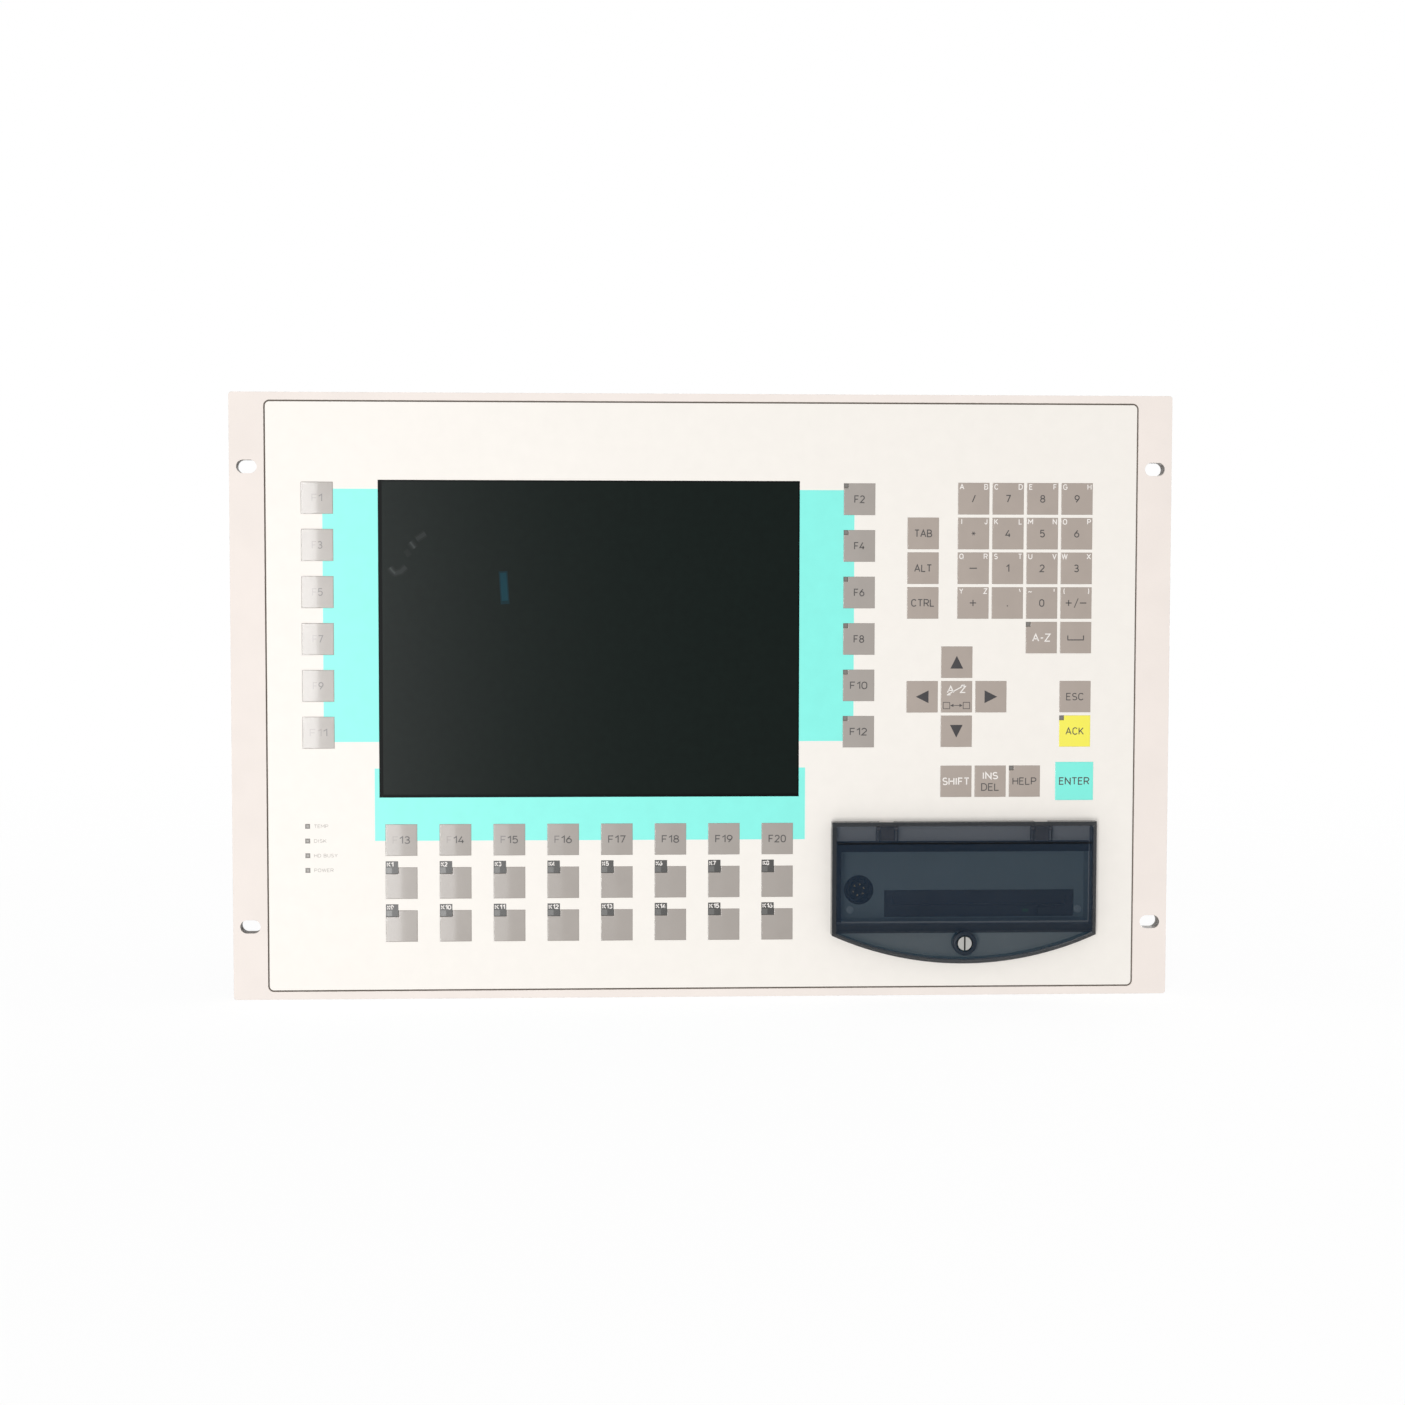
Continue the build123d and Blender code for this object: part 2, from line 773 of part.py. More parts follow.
def make_compartment_tray():
    """Moulded well behind the flap, with its flange in the overlay and two hinge ears."""
    left, right, low, high = tray_flange_limits()
    tray = slab(left, right, plate_front, recess_floor, low, high)
    tray += slab(
        tray_left - tray_wall, tray_right + tray_wall, plate_front, floor_back,
        tray_bottom - tray_wall, tray_top + tray_wall)
    tray -= slab(tray_left, tray_right, plate_front - overrun, floor_front, tray_bottom, tray_top)
    hole_width = drive_width + 2 * bezel_side + 2 * bezel_gap
    hole_height = drive_height + 2 * bezel_end + 2 * bezel_gap
    front = floor_front - overrun
    back = floor_back + overrun
    tray -= [
        block(drive_x, drive_z, hole_width, hole_height, front, back),
        rod(socket_x, socket_z, socket_radius + socket_fit, front, back),
    ]
    tray -= [rod(x, z, tray_screw_radius + screw_hole_gap, front, back) for x, z in tray_screw_places()]
    for centre in ear_centres():
        tray += hinge_ear(centre)
        tray -= cross_rod(centre - ear_width, centre + ear_width, hinge_y, hinge_z, pin_radius)
    return tray


def hinge_ear(centre):
    """A block that stands out of the flange, rounded about the hinge axis at its top.

    Behind the axis it ends at the axis's height, which leaves the open flap its room.
    """
    left = centre - ear_width / 2
    right = centre + ear_width / 2
    lower = slab(left, right, hinge_y - ear_radius, plate_front, hinge_z - ear_drop, hinge_z)
    return lower + cross_rod(left, right, hinge_y, hinge_z, ear_radius)


def disk_slot_limits():
    """Left, right, low and high edges of the drive's disk slot."""
    middle = drive_z + disk_rise
    return (
        drive_x - disk_width / 2, drive_x + disk_width / 2,
        middle - disk_height / 2, middle + disk_height / 2)


def button_place():
    x = drive_x + drive_width / 2 - button_inset - button_width / 2
    slot_low = disk_slot_limits()[2]
    bezel_low = drive_z - drive_height / 2 - bezel_end
    return x, (slot_low + bezel_low) / 2


def make_disk_drive():
    """Slim drive body with its front bezel, a disk slot and a well for the eject button."""
    bezel_front = floor_front + bezel_sink
    body_front = bezel_front + bezel_thickness
    bezel_width = drive_width + 2 * bezel_side
    bezel_height = drive_height + 2 * bezel_end
    bezel = block(drive_x, drive_z, bezel_width, bezel_height, bezel_front, body_front)
    drive = bezel + block(drive_x, drive_z, drive_width, drive_height, body_front, body_front + drive_depth)
    left, right, low, high = disk_slot_limits()
    slot = slab(left, right, bezel_front - overrun, bezel_front + disk_depth, low, high)
    swing = shutter_sheet / 2 + shutter_gap
    pocket_back = shutter_axis_y() + disk_height + swing
    pocket = slab(
        left, right, bezel_front + shutter_skin, pocket_back, high - overrun, shutter_axis_z() + swing)
    x, z = button_place()
    well_back = bezel_front - button_proud + button_length + button_travel + button_gap
    well_width = button_width + 2 * button_gap
    well_height = button_height + 2 * button_gap
    well = block(x, z, well_width, well_height, bezel_front - overrun, well_back)
    return drive - [slot, pocket, well]


def shutter_axis_y():
    return floor_front + bezel_sink + shutter_skin + shutter_gap + shutter_sheet / 2


def shutter_axis_z():
    return disk_slot_limits()[3] + shutter_sheet / 2 + shutter_swing_room


def make_drive_shutter():
    """Thin dust door across the disk slot, with a round edge at its top on which it turns."""
    left, right, low, high = disk_slot_limits()
    left += shutter_gap
    right -= shutter_gap
    y = shutter_axis_y()
    z = shutter_axis_z()
    half = shutter_sheet / 2
    return slab(left, right, y - half, y + half, low + shutter_gap, z) + cross_rod(left, right, y, z, half)


def make_drive_button():
    x, z = button_place()
    front = floor_front + bezel_sink - button_proud
    return block(x, z, button_width, button_height, front, front + button_length)


def make_keyboard_socket():
    """Round socket: a shell with a core inside, which leaves a ring for the plug."""
    front = floor_front - socket_proud
    socket = rod(socket_x, socket_z, socket_radius, front, front + socket_depth)
    bore_back = front + socket_bore_depth
    socket -= rod(socket_x, socket_z, socket_bore, front - overrun, bore_back)
    return socket + rod(socket_x, socket_z, socket_core, front + socket_core_sink, bore_back)


def arched_outline(half, high, side_low, arch_low):
    """A front outline with straight sides and an arched lower edge."""
    arch = ThreePointArc((-half, side_low), (0, arch_low), (half, side_low))
    if high == side_low:
        return make_face(arch + Line((half, side_low), (-half, side_low)))
    return make_face(arch + Polyline((-half, side_low), (-half, high), (half, high), (half, side_low)))


def make_flap():
    """Smoked hood: a front wall, side walls, a rib over the lip, hinge cheeks and a screw boss."""
    corner_low = flap_top - flap_side_height
    arch_low = corner_low - flap_arch
    outline = arched_outline(flap_width / 2, flap_top, corner_low, arch_low)
    hood = extrude(front_plane(flap_x, flap_back, 0) * outline, flap_back - flap_front)
    rim = hood.faces().filter_by(Axis.Y).sort_by(Axis.Y)[0].edges()
    hood = chamfer(rim, flap_bevel)
    half_inner = flap_width / 2 - flap_side_wall
    left = flap_x - half_inner
    right = flap_x + half_inner
    rib_top = flap_top - flap_rib_drop
    rib_low = rib_top - flap_rib
    main_room = slab(left, right, flap_inner, flap_back + overrun, rib_top, flap_top - flap_top_wall)
    lip_outline = arched_outline(half_inner, rib_low, rib_low, arch_low + flap_side_wall)
    room_back = flap_back + overrun
    lip_room = extrude(front_plane(flap_x, room_back, 0) * lip_outline, room_back - flap_inner)
    swing_room = slab(
        left - flap_side_wall - overrun, right + flap_side_wall + overrun,
        hinge_y + hinge_back_reach, flap_back + overrun, hinge_z, flap_top + overrun)
    groove_z = flap_top - flap_groove_drop
    groove = block(
        flap_x, groove_z, flap_width - 2 * flap_groove_inset, flap_groove,
        flap_front - overrun, flap_front + flap_groove_depth)
    hood -= [main_room, lip_room, swing_room, groove]
    for centre in ear_centres():
        room = ear_width / 2 + cheek_gap
        hood -= slab(
            centre - room, centre + room, flap_inner, flap_back + overrun,
            hinge_z, flap_top + overrun)
        for side in (-1, 1):
            inner = centre + side * room
            left, right = sorted((inner, inner + side * cheek_width))
            low = hinge_z - cheek_drop
            high = flap_top - flap_top_wall
            hood += slab(left, right, flap_inner, hinge_y + cheek_reach, low, high)
        reach = room + cheek_width
        hood -= cross_rod(centre - reach, centre + reach, hinge_y, hinge_z, pin_radius + pin_play)
    hood += rod(flap_x, lock_z, boss_radius, flap_front - boss_rise, flap_inner + boss_length)
    sink = lock_head_radius + lock_sink_gap
    hood -= [
        rod(flap_x, lock_z, lock_radius + lock_hole_gap, flap_front - overrun, flap_back + overrun),
        rod(flap_x, lock_z, sink, flap_front - boss_rise - overrun, lock_seat()),
    ]
    return hood


def lock_seat():
    """Depth of the face under the captive screw's head."""
    return flap_front - boss_rise + lock_head_height


def make_hinge_pins():
    reach = ear_width / 2 + cheek_gap + cheek_width
    return [cross_rod(x - reach, x + reach, hinge_y, hinge_z, pin_radius) for x in ear_centres()]


def make_flap_screw():
    """Slotted screw: its shank passes the boss and stands in a clearance hole of the plate."""
    head_front = lock_seat() - lock_head_height
    tip = plate_front + lock_reach
    body = rod(flap_x, lock_z, lock_head_radius, head_front, lock_seat())
    body += rod(flap_x, lock_z, lock_radius, lock_seat(), tip)
    groove_length = 2 * (lock_head_radius + overrun)
    groove_back = head_front + lock_slot_depth
    return body - block(flap_x, lock_z, lock_slot_width, groove_length, head_front - overrun, groove_back)


def make_screw_ring():
    """Ring on the shank that keeps the screw in the flap."""
    back = overlay_front - ring_to_overlay
    ring = rod(flap_x, lock_z, ring_radius, back - ring_thickness, back)
    hole = rod(flap_x, lock_z, lock_radius + pin_play, back - ring_thickness - overrun, back + overrun)
    return ring - hole


pieces = {
    "front_plate": make_front_plate(),
    "overlay_foil": make_overlay_foil(),
    "keypad_circuit": make_keypad_circuit(),
    "snap_domes": make_snap_domes(),
    "indicator_windows": make_indicator_windows(),
    "screen_pane": make_screen_pane(),
    "lcd_cell": make_lcd_cell(),
    "lcd_frame": make_lcd_frame(),
    "display_bracket": make_display_bracket(),
    "power_board": make_power_board(),
    "main_board": make_main_board(),
    "rear_connectors": make_rear_connectors(),
    "rear_housing": make_rear_housing(),
    "rear_cover": make_rear_cover(),
    "panel_gasket": make_panel_gasket(),
    "screws": make_screws(),
    "compartment_tray": make_compartment_tray(),
    "disk_drive": make_disk_drive(),
    "drive_button": make_drive_button(),
    "drive_shutter": make_drive_shutter(),
    "keyboard_socket": make_keyboard_socket(),
    "flap": make_flap(),
    "hinge_pins": make_hinge_pins(),
    "flap_screw": make_flap_screw(),
    "screw_ring": make_screw_ring(),
}
for group_name, keys in key_groups.items():
    pieces[group_name] = [key_pad(*key) for key in keys]

os.makedirs("parts", exist_ok=True)
for piece_name, shape in pieces.items():
    if isinstance(shape, list):
        solids = [solid for part in shape for solid in part.solids()]
        shape = Compound(solids)
    export_step(shape, "parts/" + piece_name + ".step")
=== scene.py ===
import bpy
import bmesh
import math
from mathutils import Matrix, Vector


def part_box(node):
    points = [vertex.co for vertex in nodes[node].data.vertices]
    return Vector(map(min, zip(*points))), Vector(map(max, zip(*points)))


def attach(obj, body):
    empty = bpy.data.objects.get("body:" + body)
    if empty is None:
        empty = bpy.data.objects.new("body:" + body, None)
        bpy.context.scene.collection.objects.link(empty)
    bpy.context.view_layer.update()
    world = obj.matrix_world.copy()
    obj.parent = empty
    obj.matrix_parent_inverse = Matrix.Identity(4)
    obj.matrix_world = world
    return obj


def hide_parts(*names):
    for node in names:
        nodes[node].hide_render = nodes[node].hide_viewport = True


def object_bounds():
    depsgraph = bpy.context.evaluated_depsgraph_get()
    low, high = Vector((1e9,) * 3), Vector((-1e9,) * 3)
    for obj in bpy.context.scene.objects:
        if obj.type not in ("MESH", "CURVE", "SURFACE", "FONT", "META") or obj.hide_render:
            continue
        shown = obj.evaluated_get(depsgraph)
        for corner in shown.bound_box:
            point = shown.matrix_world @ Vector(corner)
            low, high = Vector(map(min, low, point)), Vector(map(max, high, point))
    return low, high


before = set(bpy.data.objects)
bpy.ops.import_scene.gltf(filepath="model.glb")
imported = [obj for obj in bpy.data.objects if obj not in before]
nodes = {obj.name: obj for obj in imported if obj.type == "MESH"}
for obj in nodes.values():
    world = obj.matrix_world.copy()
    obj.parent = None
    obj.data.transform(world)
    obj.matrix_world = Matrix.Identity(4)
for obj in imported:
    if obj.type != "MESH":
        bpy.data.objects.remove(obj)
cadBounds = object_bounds()
mm = 0.001

# Camera, solved from the plate's four corners in the photo
cameraValues = {
    "lens": 64.057,
    "place": (-0.0663, -1.2903, 0.0734),
    "turn": (86.6074, -0.0967, -2.9134),
}


def makeCamera(values):
    lens = bpy.data.cameras.new("camera")
    lens.lens = values["lens"]
    lens.clip_end = 30
    camera = bpy.data.objects.new("camera", lens)
    camera.location = values["place"]
    camera.rotation_euler = [math.radians(angle) for angle in values["turn"]]
    bpy.context.scene.collection.objects.link(camera)
    bpy.context.scene.camera = camera


makeCamera(cameraValues)
print("camera ready")


# Small helpers for node trees
def feed(tree, socket, source):
    # a socket takes another node's output or a plain value
    if isinstance(source, bpy.types.NodeSocket):
        tree.links.new(source, socket)
    else:
        socket.default_value = source


def addNode(tree, kind, links=None, **settings):
    node = tree.nodes.new("ShaderNode" + kind)
    for key, value in settings.items():
        setattr(node, key, value)
    for socket, source in (links or {}).items():
        feed(tree, node.inputs[socket], source)
    return node


def sumOf(tree, operation, first, second=0.0, clamp=False):
    return addNode(tree, "Math", {0: first, 1: second}, operation=operation, use_clamp=clamp).outputs[0]


def mixColour(tree, factor, first, second):
    return addNode(tree, "Mix", {0: factor, 6: first, 7: second}, data_type="RGBA").outputs[2]


def remap(tree, value, span, reach=(0.0, 1.0)):
    # a value inside the span becomes one inside the reach
    links = {0: value, 1: span[0], 2: span[1], 3: reach[0], 4: reach[1]}
    return addNode(tree, "MapRange", links).outputs[0]


def noise(tree, vector, scale, detail=2.0, rough=0.5):
    links = {"Vector": vector, "Scale": scale, "Detail": detail, "Roughness": rough}
    return addNode(tree, "TexNoise", links).outputs[0]


def stretched(tree, vector, factors):
    return addNode(tree, "VectorMath", {0: vector, 1: factors}, operation="MULTIPLY").outputs[0]


def objectPlace(tree):
    return addNode(tree, "TexCoord").outputs["Object"]


def newGroup(name, inputs, outputs):
    group = bpy.data.node_groups.new(name, "ShaderNodeTree")
    for label, kind, value in inputs:
        socket = group.interface.new_socket(label, in_out="INPUT", socket_type="NodeSocket" + kind)
        socket.default_value = value
    for label in outputs:
        group.interface.new_socket(label, in_out="OUTPUT", socket_type="NodeSocketFloat")
    return group, group.nodes.new("NodeGroupInput"), group.nodes.new("NodeGroupOutput")


def useGroup(tree, group, **values):
    node = tree.nodes.new("ShaderNodeGroup")
    node.node_tree = group
    for label, value in values.items():
        node.inputs[label].default_value = value
    return node


def toLinear(colour):
    parts = []
    for part in colour:
        share = part / 255
        parts.append(share / 12.92 if share <= 0.04045 else ((share + 0.055) / 1.055) ** 2.4)
    return (*parts, 1.0)


# Shared effects: sizes are in millimetres, spans are the part of a noise that shows
effectValues = {
    "perMetre": 1000.0,
    "grainDetail": 3.0, "grainRough": 0.6, "cloudScale": 0.02,
    "wearBend": (0.01, 0.12), "wearPatches": (0.42, 0.62), "wearDetail": 4.0, "wearSamples": 4,
    "scratchStretch": (0.06, 1.0, 1.4), "scratchScale": 2600.0, "scratchLines": (0.66, 0.72),
    "scratchAreaScale": 160.0, "scratchAreas": (0.5, 0.65),
    "dustDetail": 5.0, "dustRough": 0.7, "dustHaze": (0.45, 0.75),
    "dustTilt": (-0.2, 1.0), "dustLying": (0.25, 1.0),
}


def makeGrain():
    inputs = [("Size", "Float", 0.4), ("Stretch", "Vector", (1, 1, 1))]
    group, start, end = newGroup("fineGrain", inputs, ["Height", "Cloud"])
    drawn = stretched(group, objectPlace(group), start.outputs["Stretch"])
    scale = sumOf(group, "DIVIDE", effectValues["perMetre"], start.outputs["Size"])
    fine = noise(group, drawn, scale, effectValues["grainDetail"], effectValues["grainRough"])
    cloud = noise(group, drawn, sumOf(group, "MULTIPLY", scale, effectValues["cloudScale"]))
    group.links.new(fine, end.inputs["Height"])
    group.links.new(cloud, end.inputs["Cloud"])
    return group


def makeEdgeWear():
    group, start, end = newGroup("edgeWear", [("Width", "Float", 0.4), ("Breakup", "Float", 2.0)], ["Mask"])
    width = sumOf(group, "MULTIPLY", start.outputs["Width"], mm)
    rounded = addNode(group, "Bevel", {"Radius": width}, samples=effectValues["wearSamples"]).outputs[0]
    flat = addNode(group, "NewGeometry").outputs["Normal"]
    dot = addNode(group, "VectorMath", {0: rounded, 1: flat}, operation="DOT_PRODUCT").outputs["Value"]
    edge = remap(group, sumOf(group, "SUBTRACT", 1.0, dot), effectValues["wearBend"])
    scale = sumOf(group, "DIVIDE", effectValues["perMetre"], start.outputs["Breakup"])
    patches = noise(group, objectPlace(group), scale, effectValues["wearDetail"])
    broken = remap(group, patches, effectValues["wearPatches"])
    group.links.new(sumOf(group, "MULTIPLY", edge, broken), end.inputs["Mask"])
    return group


def makeScratches():
    group, start, end = newGroup("fineScratches", [("Size", "Float", 6.0), ("Turn", "Float", 0.6)], ["Mask"])
    place = objectPlace(group)
    turn = {"Vector": place, "Axis": (0, 1, 0), "Angle": start.outputs["Turn"]}
    turned = addNode(group, "VectorRotate", turn).outputs[0]
    drawn = stretched(group, turned, effectValues["scratchStretch"])
    scale = sumOf(group, "DIVIDE", effectValues["scratchScale"], start.outputs["Size"])
    thin = remap(group, noise(group, drawn, scale), effectValues["scratchLines"])
    areaScale = sumOf(group, "DIVIDE", effectValues["scratchAreaScale"], start.outputs["Size"])
    some = remap(group, noise(group, place, areaScale), effectValues["scratchAreas"])
    group.links.new(sumOf(group, "MULTIPLY", thin, some), end.inputs["Mask"])
    return group


def makeDust():
    group, start, end = newGroup("restingDust", [("Size", "Float", 30.0)], ["Mask"])
    scale = sumOf(group, "DIVIDE", effectValues["perMetre"], start.outputs["Size"])
    haze = noise(group, objectPlace(group), scale, effectValues["dustDetail"], effectValues["dustRough"])
    soft = remap(group, haze, effectValues["dustHaze"])
    flat = addNode(group, "NewGeometry").outputs["Normal"]
    up = addNode(group, "SeparateXYZ", {0: flat}).outputs["Z"]
    lying = remap(group, up, effectValues["dustTilt"], effectValues["dustLying"])
    group.links.new(sumOf(group, "MULTIPLY", soft, lying), end.inputs["Mask"])
    return group


def makeSpangle():
    group, start, end = newGroup("zincSpangle", [("Size", "Float", 4.0)], ["Tone"])
    scale = sumOf(group, "DIVIDE", effectValues["perMetre"], start.outputs["Size"])
    links = {"Vector": objectPlace(group), "Scale": scale, "Randomness": 1.0}
    flakes = addNode(group, "TexVoronoi", links).outputs["Color"]
    group.links.new(addNode(group, "SeparateColor", {0: flakes}).outputs[0], end.inputs["Tone"])
    return group


grain = makeGrain()
edgeWear = makeEdgeWear()
scratches = makeScratches()
dust = makeDust()
spangle = makeSpangle()

# Looks that several finishes share
filmSkin = {"drift": 0.02, "rough": 0.36, "size": 0.16, "depth": 0.004, "dusty": 0.03, "scratched": 0.02}
shine = {"specular": 0.3, "coat": 1.0, "coatRough": 0.15}
keySkin = {**shine, "drift": 0.03, "rough": 0.4, "size": 0.2, "depth": 0.002, "scratched": 0.02}
inkSkin = {"drift": 0.08, "rough": 0.4, "size": 0.1, "depth": 0.002}
windowSkin = {"drift": 0.08, "rough": 0.28, "size": 0.5, "depth": 0.004, "specular": 0.3}
lampSkin = {"drift": 0.06, "rough": 0.35, "size": 0.3, "depth": 0.01, "specular": 0.3}
markSkin = {"drift": 0.1, "rough": 0.2, "size": 0.5, "depth": 0.002, "specular": 0.075}
earSkin = {"drift": 0.08, "rough": 0.4, "size": 0.4, "depth": 0.01, "specular": 0.2}
smokedSkin = {"drift": 0.1, "rough": 0.12, "size": 0.6, "depth": 0.002, "specular": 0.22,
              "scratched": 0.02, "dusty": 0.01}
bareMetal = {"metal": 1.0, "drift": 0.08, "rough": 0.3, "size": 0.3, "depth": 0.004}

# Finishes: colours as seen on a screen (0 to 255), sizes in millimetres
finishes = {
    "plateCoat": {"colour": (247, 237, 230), "drift": 0.02, "rough": 0.55, "size": 0.45, "depth": 0.02,
                  "wear": (214, 204, 194), "wearWidth": 0.45, "dusty": 0.05},
    "filmCream": {**filmSkin, "colour": (250, 245, 238), "drift": 0.012, "rough": 0.42},
    "filmTeal": {**filmSkin, "colour": (134, 248, 235)},
    # Painted shade: a dark ring in the gap round the film, for the shade between film and plate
    "filmGapShade": {"colour": (112, 104, 97), "drift": 0.1, "rough": 0.7, "size": 0.3, "depth": 0.01,
                 "specular": 0.2},
    # Painted shade: a darker tone for the side walls inside the rack slots
    "slotWallShade": {"colour": (150, 141, 132), "drift": 0.08, "rough": 0.5, "size": 0.3, "depth": 0.02},
    "keyGrey": {**keySkin, "colour": (164, 156, 149)},
    "keyWarm": {**keySkin, "colour": (172, 159, 149)},
    "keyYellow": {**keySkin, "colour": (255, 244, 78), "drift": 0.02},
    "keyTeal": {**keySkin, "colour": (126, 246, 230), "drift": 0.02},
    # Painted highlight: two paler inks for the soft box's glare on the left keys' legends
    "inkGlare": {**inkSkin, **shine, "colour": (146, 138, 132), "drift": 0.05},
    "inkSoftGlare": {**inkSkin, **shine, "colour": (116, 110, 108), "drift": 0.06},
    "inkDark": {**inkSkin, **shine, "colour": (64, 60, 58)},
    "inkWhite": {**inkSkin, "colour": (246, 241, 236), "drift": 0.03},
    "inkArrow": {**inkSkin, "colour": (62, 60, 62), "specular": 0.3},
    "inkFaint": {**inkSkin, "colour": (202, 197, 190), "drift": 0.05, "rough": 0.5},
    "windowPale": {**windowSkin, "colour": (122, 117, 112), "drift": 0.06},
    "windowDark": {**windowSkin, "colour": (62, 61, 59), "specular": 0.5},
    "lampPale": {**lampSkin, "colour": (128, 125, 122), "drift": 0.1},
    "statusPale": {**lampSkin, "colour": (172, 169, 164)},
    "tagPale": {**lampSkin, "colour": (72, 71, 68), "rough": 0.28, "depth": 0.004, "specular": 0.85},
    "screenDark": {"colour": (14, 24, 21), "drift": 0.1, "rough": 0.2, "size": 0.08, "depth": 0.002,
                   "specular": 0.075, "dusty": 0.002},
    # Painted shade: a near-black border round the screen's glass, wider at the left and bottom
    "screenEdgeShade": {"colour": (7, 10, 10), "drift": 0.1, "rough": 0.3, "size": 0.2, "depth": 0.002,
                     "specular": 0.05},
    "smudgeFaint": {**markSkin, "colour": (27, 33, 31)},
    "smudgeSoft": {**markSkin, "colour": (42, 47, 46), "drift": 0.15},
    "smudgeBright": {**markSkin, "colour": (63, 69, 68), "drift": 0.2},
    "streakSoft": {**markSkin, "colour": (13, 41, 48)},
    "streakCore": {**markSkin, "colour": (14, 57, 68)},
    "lcdGlass": {"colour": (14, 15, 17), "drift": 0.1, "rough": 0.08, "size": 1.0, "depth": 0.001},
    "blackMetal": {"colour": (34, 34, 35), "drift": 0.15, "rough": 0.5, "size": 0.3, "depth": 0.01,
                   "wear": (120, 120, 118), "wearWidth": 0.3},
    "boardGreen": {"colour": (24, 84, 52), "drift": 0.25, "rough": 0.4, "size": 1.2, "depth": 0.02},
    "chipBlack": {"colour": (32, 32, 34), "drift": 0.15, "rough": 0.6, "size": 0.25, "depth": 0.01},
    "circuitFilm": {"colour": (196, 190, 168), "drift": 0.06, "rough": 0.4, "size": 0.8, "depth": 0.01},
    "domeSteel": {**bareMetal, "colour": (188, 188, 186)},
    "shellMetal": {**bareMetal, "colour": (196, 194, 188), "rough": 0.28, "size": 0.4, "dusty": 0.1},
    "pinGold": {**bareMetal, "colour": (222, 190, 110), "drift": 0.06, "rough": 0.22, "size": 0.2,
                "depth": 0.002},
    "lockNickel": {**bareMetal, "colour": (150, 149, 146), "drift": 0.06, "rough": 0.36, "size": 0.12,
                   "depth": 0.006, "stretch": (1, 1, 0.12), "specular": 0.3},
    "screwSteel": {**bareMetal, "colour": (205, 204, 200), "rough": 0.32, "size": 0.25, "scratched": 0.2},
    "pinSteel": {**bareMetal, "colour": (176, 176, 174), "drift": 0.1, "size": 0.2, "depth": 0.003,
                 "stretch": (0.1, 1, 1)},
    "driveMetal": {**bareMetal, "colour": (150, 152, 154), "rough": 0.4, "size": 0.5, "depth": 0.006,
                   "stretch": (1, 0.06, 1), "dusty": 0.2},
    "zincSheet": {**bareMetal, "colour": (176, 179, 184), "drift": 0.06, "rough": 0.42, "size": 0.6,
                  "depth": 0.006, "wear": (210, 212, 214), "wearWidth": 0.3, "scratched": 0.25,
                  "dusty": 0.22},
    "insulator": {"colour": (30, 31, 33), "drift": 0.12, "rough": 0.45, "size": 0.3, "depth": 0.01},
    "terminalGreen": {"colour": (46, 118, 72), "drift": 0.08, "rough": 0.4, "size": 0.3, "depth": 0.008,
                      "dusty": 0.1},
    "foam": {"colour": (44, 44, 46), "drift": 0.25, "rough": 0.95, "size": 0.7, "depth": 0.25,
             "specular": 0.2, "dusty": 0.2},
    "trayPlastic": {"colour": (160, 181, 188), "drift": 0.03, "rough": 0.55, "size": 0.5, "depth": 0.02,
                    "dusty": 0.12},
    "trayFlange": {"colour": (242, 244, 246), "drift": 0.03, "rough": 0.5, "size": 0.5, "depth": 0.015},
    "earPlastic": {**earSkin, "colour": (134, 122, 112), "rough": 0.45},
    "cheekPlastic": {**earSkin, "colour": (108, 102, 98)},
    # Painted shade: dark blocks behind the flap, below its groove and down its left side
    "sealFoam": {"colour": (24, 27, 32), "drift": 0.2, "rough": 0.9, "size": 0.5, "depth": 0.08,
                 "specular": 0.1},
    "drivePlastic": {"colour": (38, 40, 44), "drift": 0.1, "rough": 0.5, "size": 0.35, "depth": 0.015,
                     "wear": (92, 94, 98), "wearWidth": 0.25, "dusty": 0.08},
    "socketPlastic": {"colour": (16, 17, 19), "drift": 0.12, "rough": 0.6, "size": 0.3, "depth": 0.01,
                      "specular": 0.08},
    "lensGreen": {"colour": (60, 120, 74), "drift": 0.1, "rough": 0.2, "size": 0.6, "depth": 0.004},
    "smokedPlastic": {**smokedSkin, "colour": (24, 42, 60), "alpha": 0.45},
    "smokedEdge": {"colour": (40, 44, 49), "drift": 0.1, "rough": 0.2, "size": 0.6, "depth": 0.002,
                   "alpha": 0.88, "specular": 0.25, "scratched": 0.02},
    "smokedLip": {**smokedSkin, "colour": (30, 90, 105), "alpha": 0.48},
    # Painted shade: near black for the flap's groove and the lock screw's slot
    "grooveShade": {"colour": (10, 11, 13), "drift": 0.15, "rough": 0.6, "size": 0.4, "depth": 0.01,
                   "specular": 0.06},
    "screwDull": {"colour": (214, 229, 236), "drift": 0.06, "rough": 0.6, "size": 0.3, "depth": 0.01,
                  "metal": 0.15},
    "bushDark": {"colour": (38, 42, 47), "drift": 0.15, "rough": 0.35, "size": 0.4, "depth": 0.006,
                 "specular": 0.3},
}
finishValues = {
    "cloudShare": 2, "grainSpan": (0.3, 0.7), "roughSpread": 0.12, "bump": 0.6,
    "scratchTone": (0.75, 0.75, 0.75, 1.0), "dustColour": (196, 188, 176),
    "spangleSize": 5.0, "spangleReach": (0.0, 0.16), "spangleColour": (120, 126, 134),
}


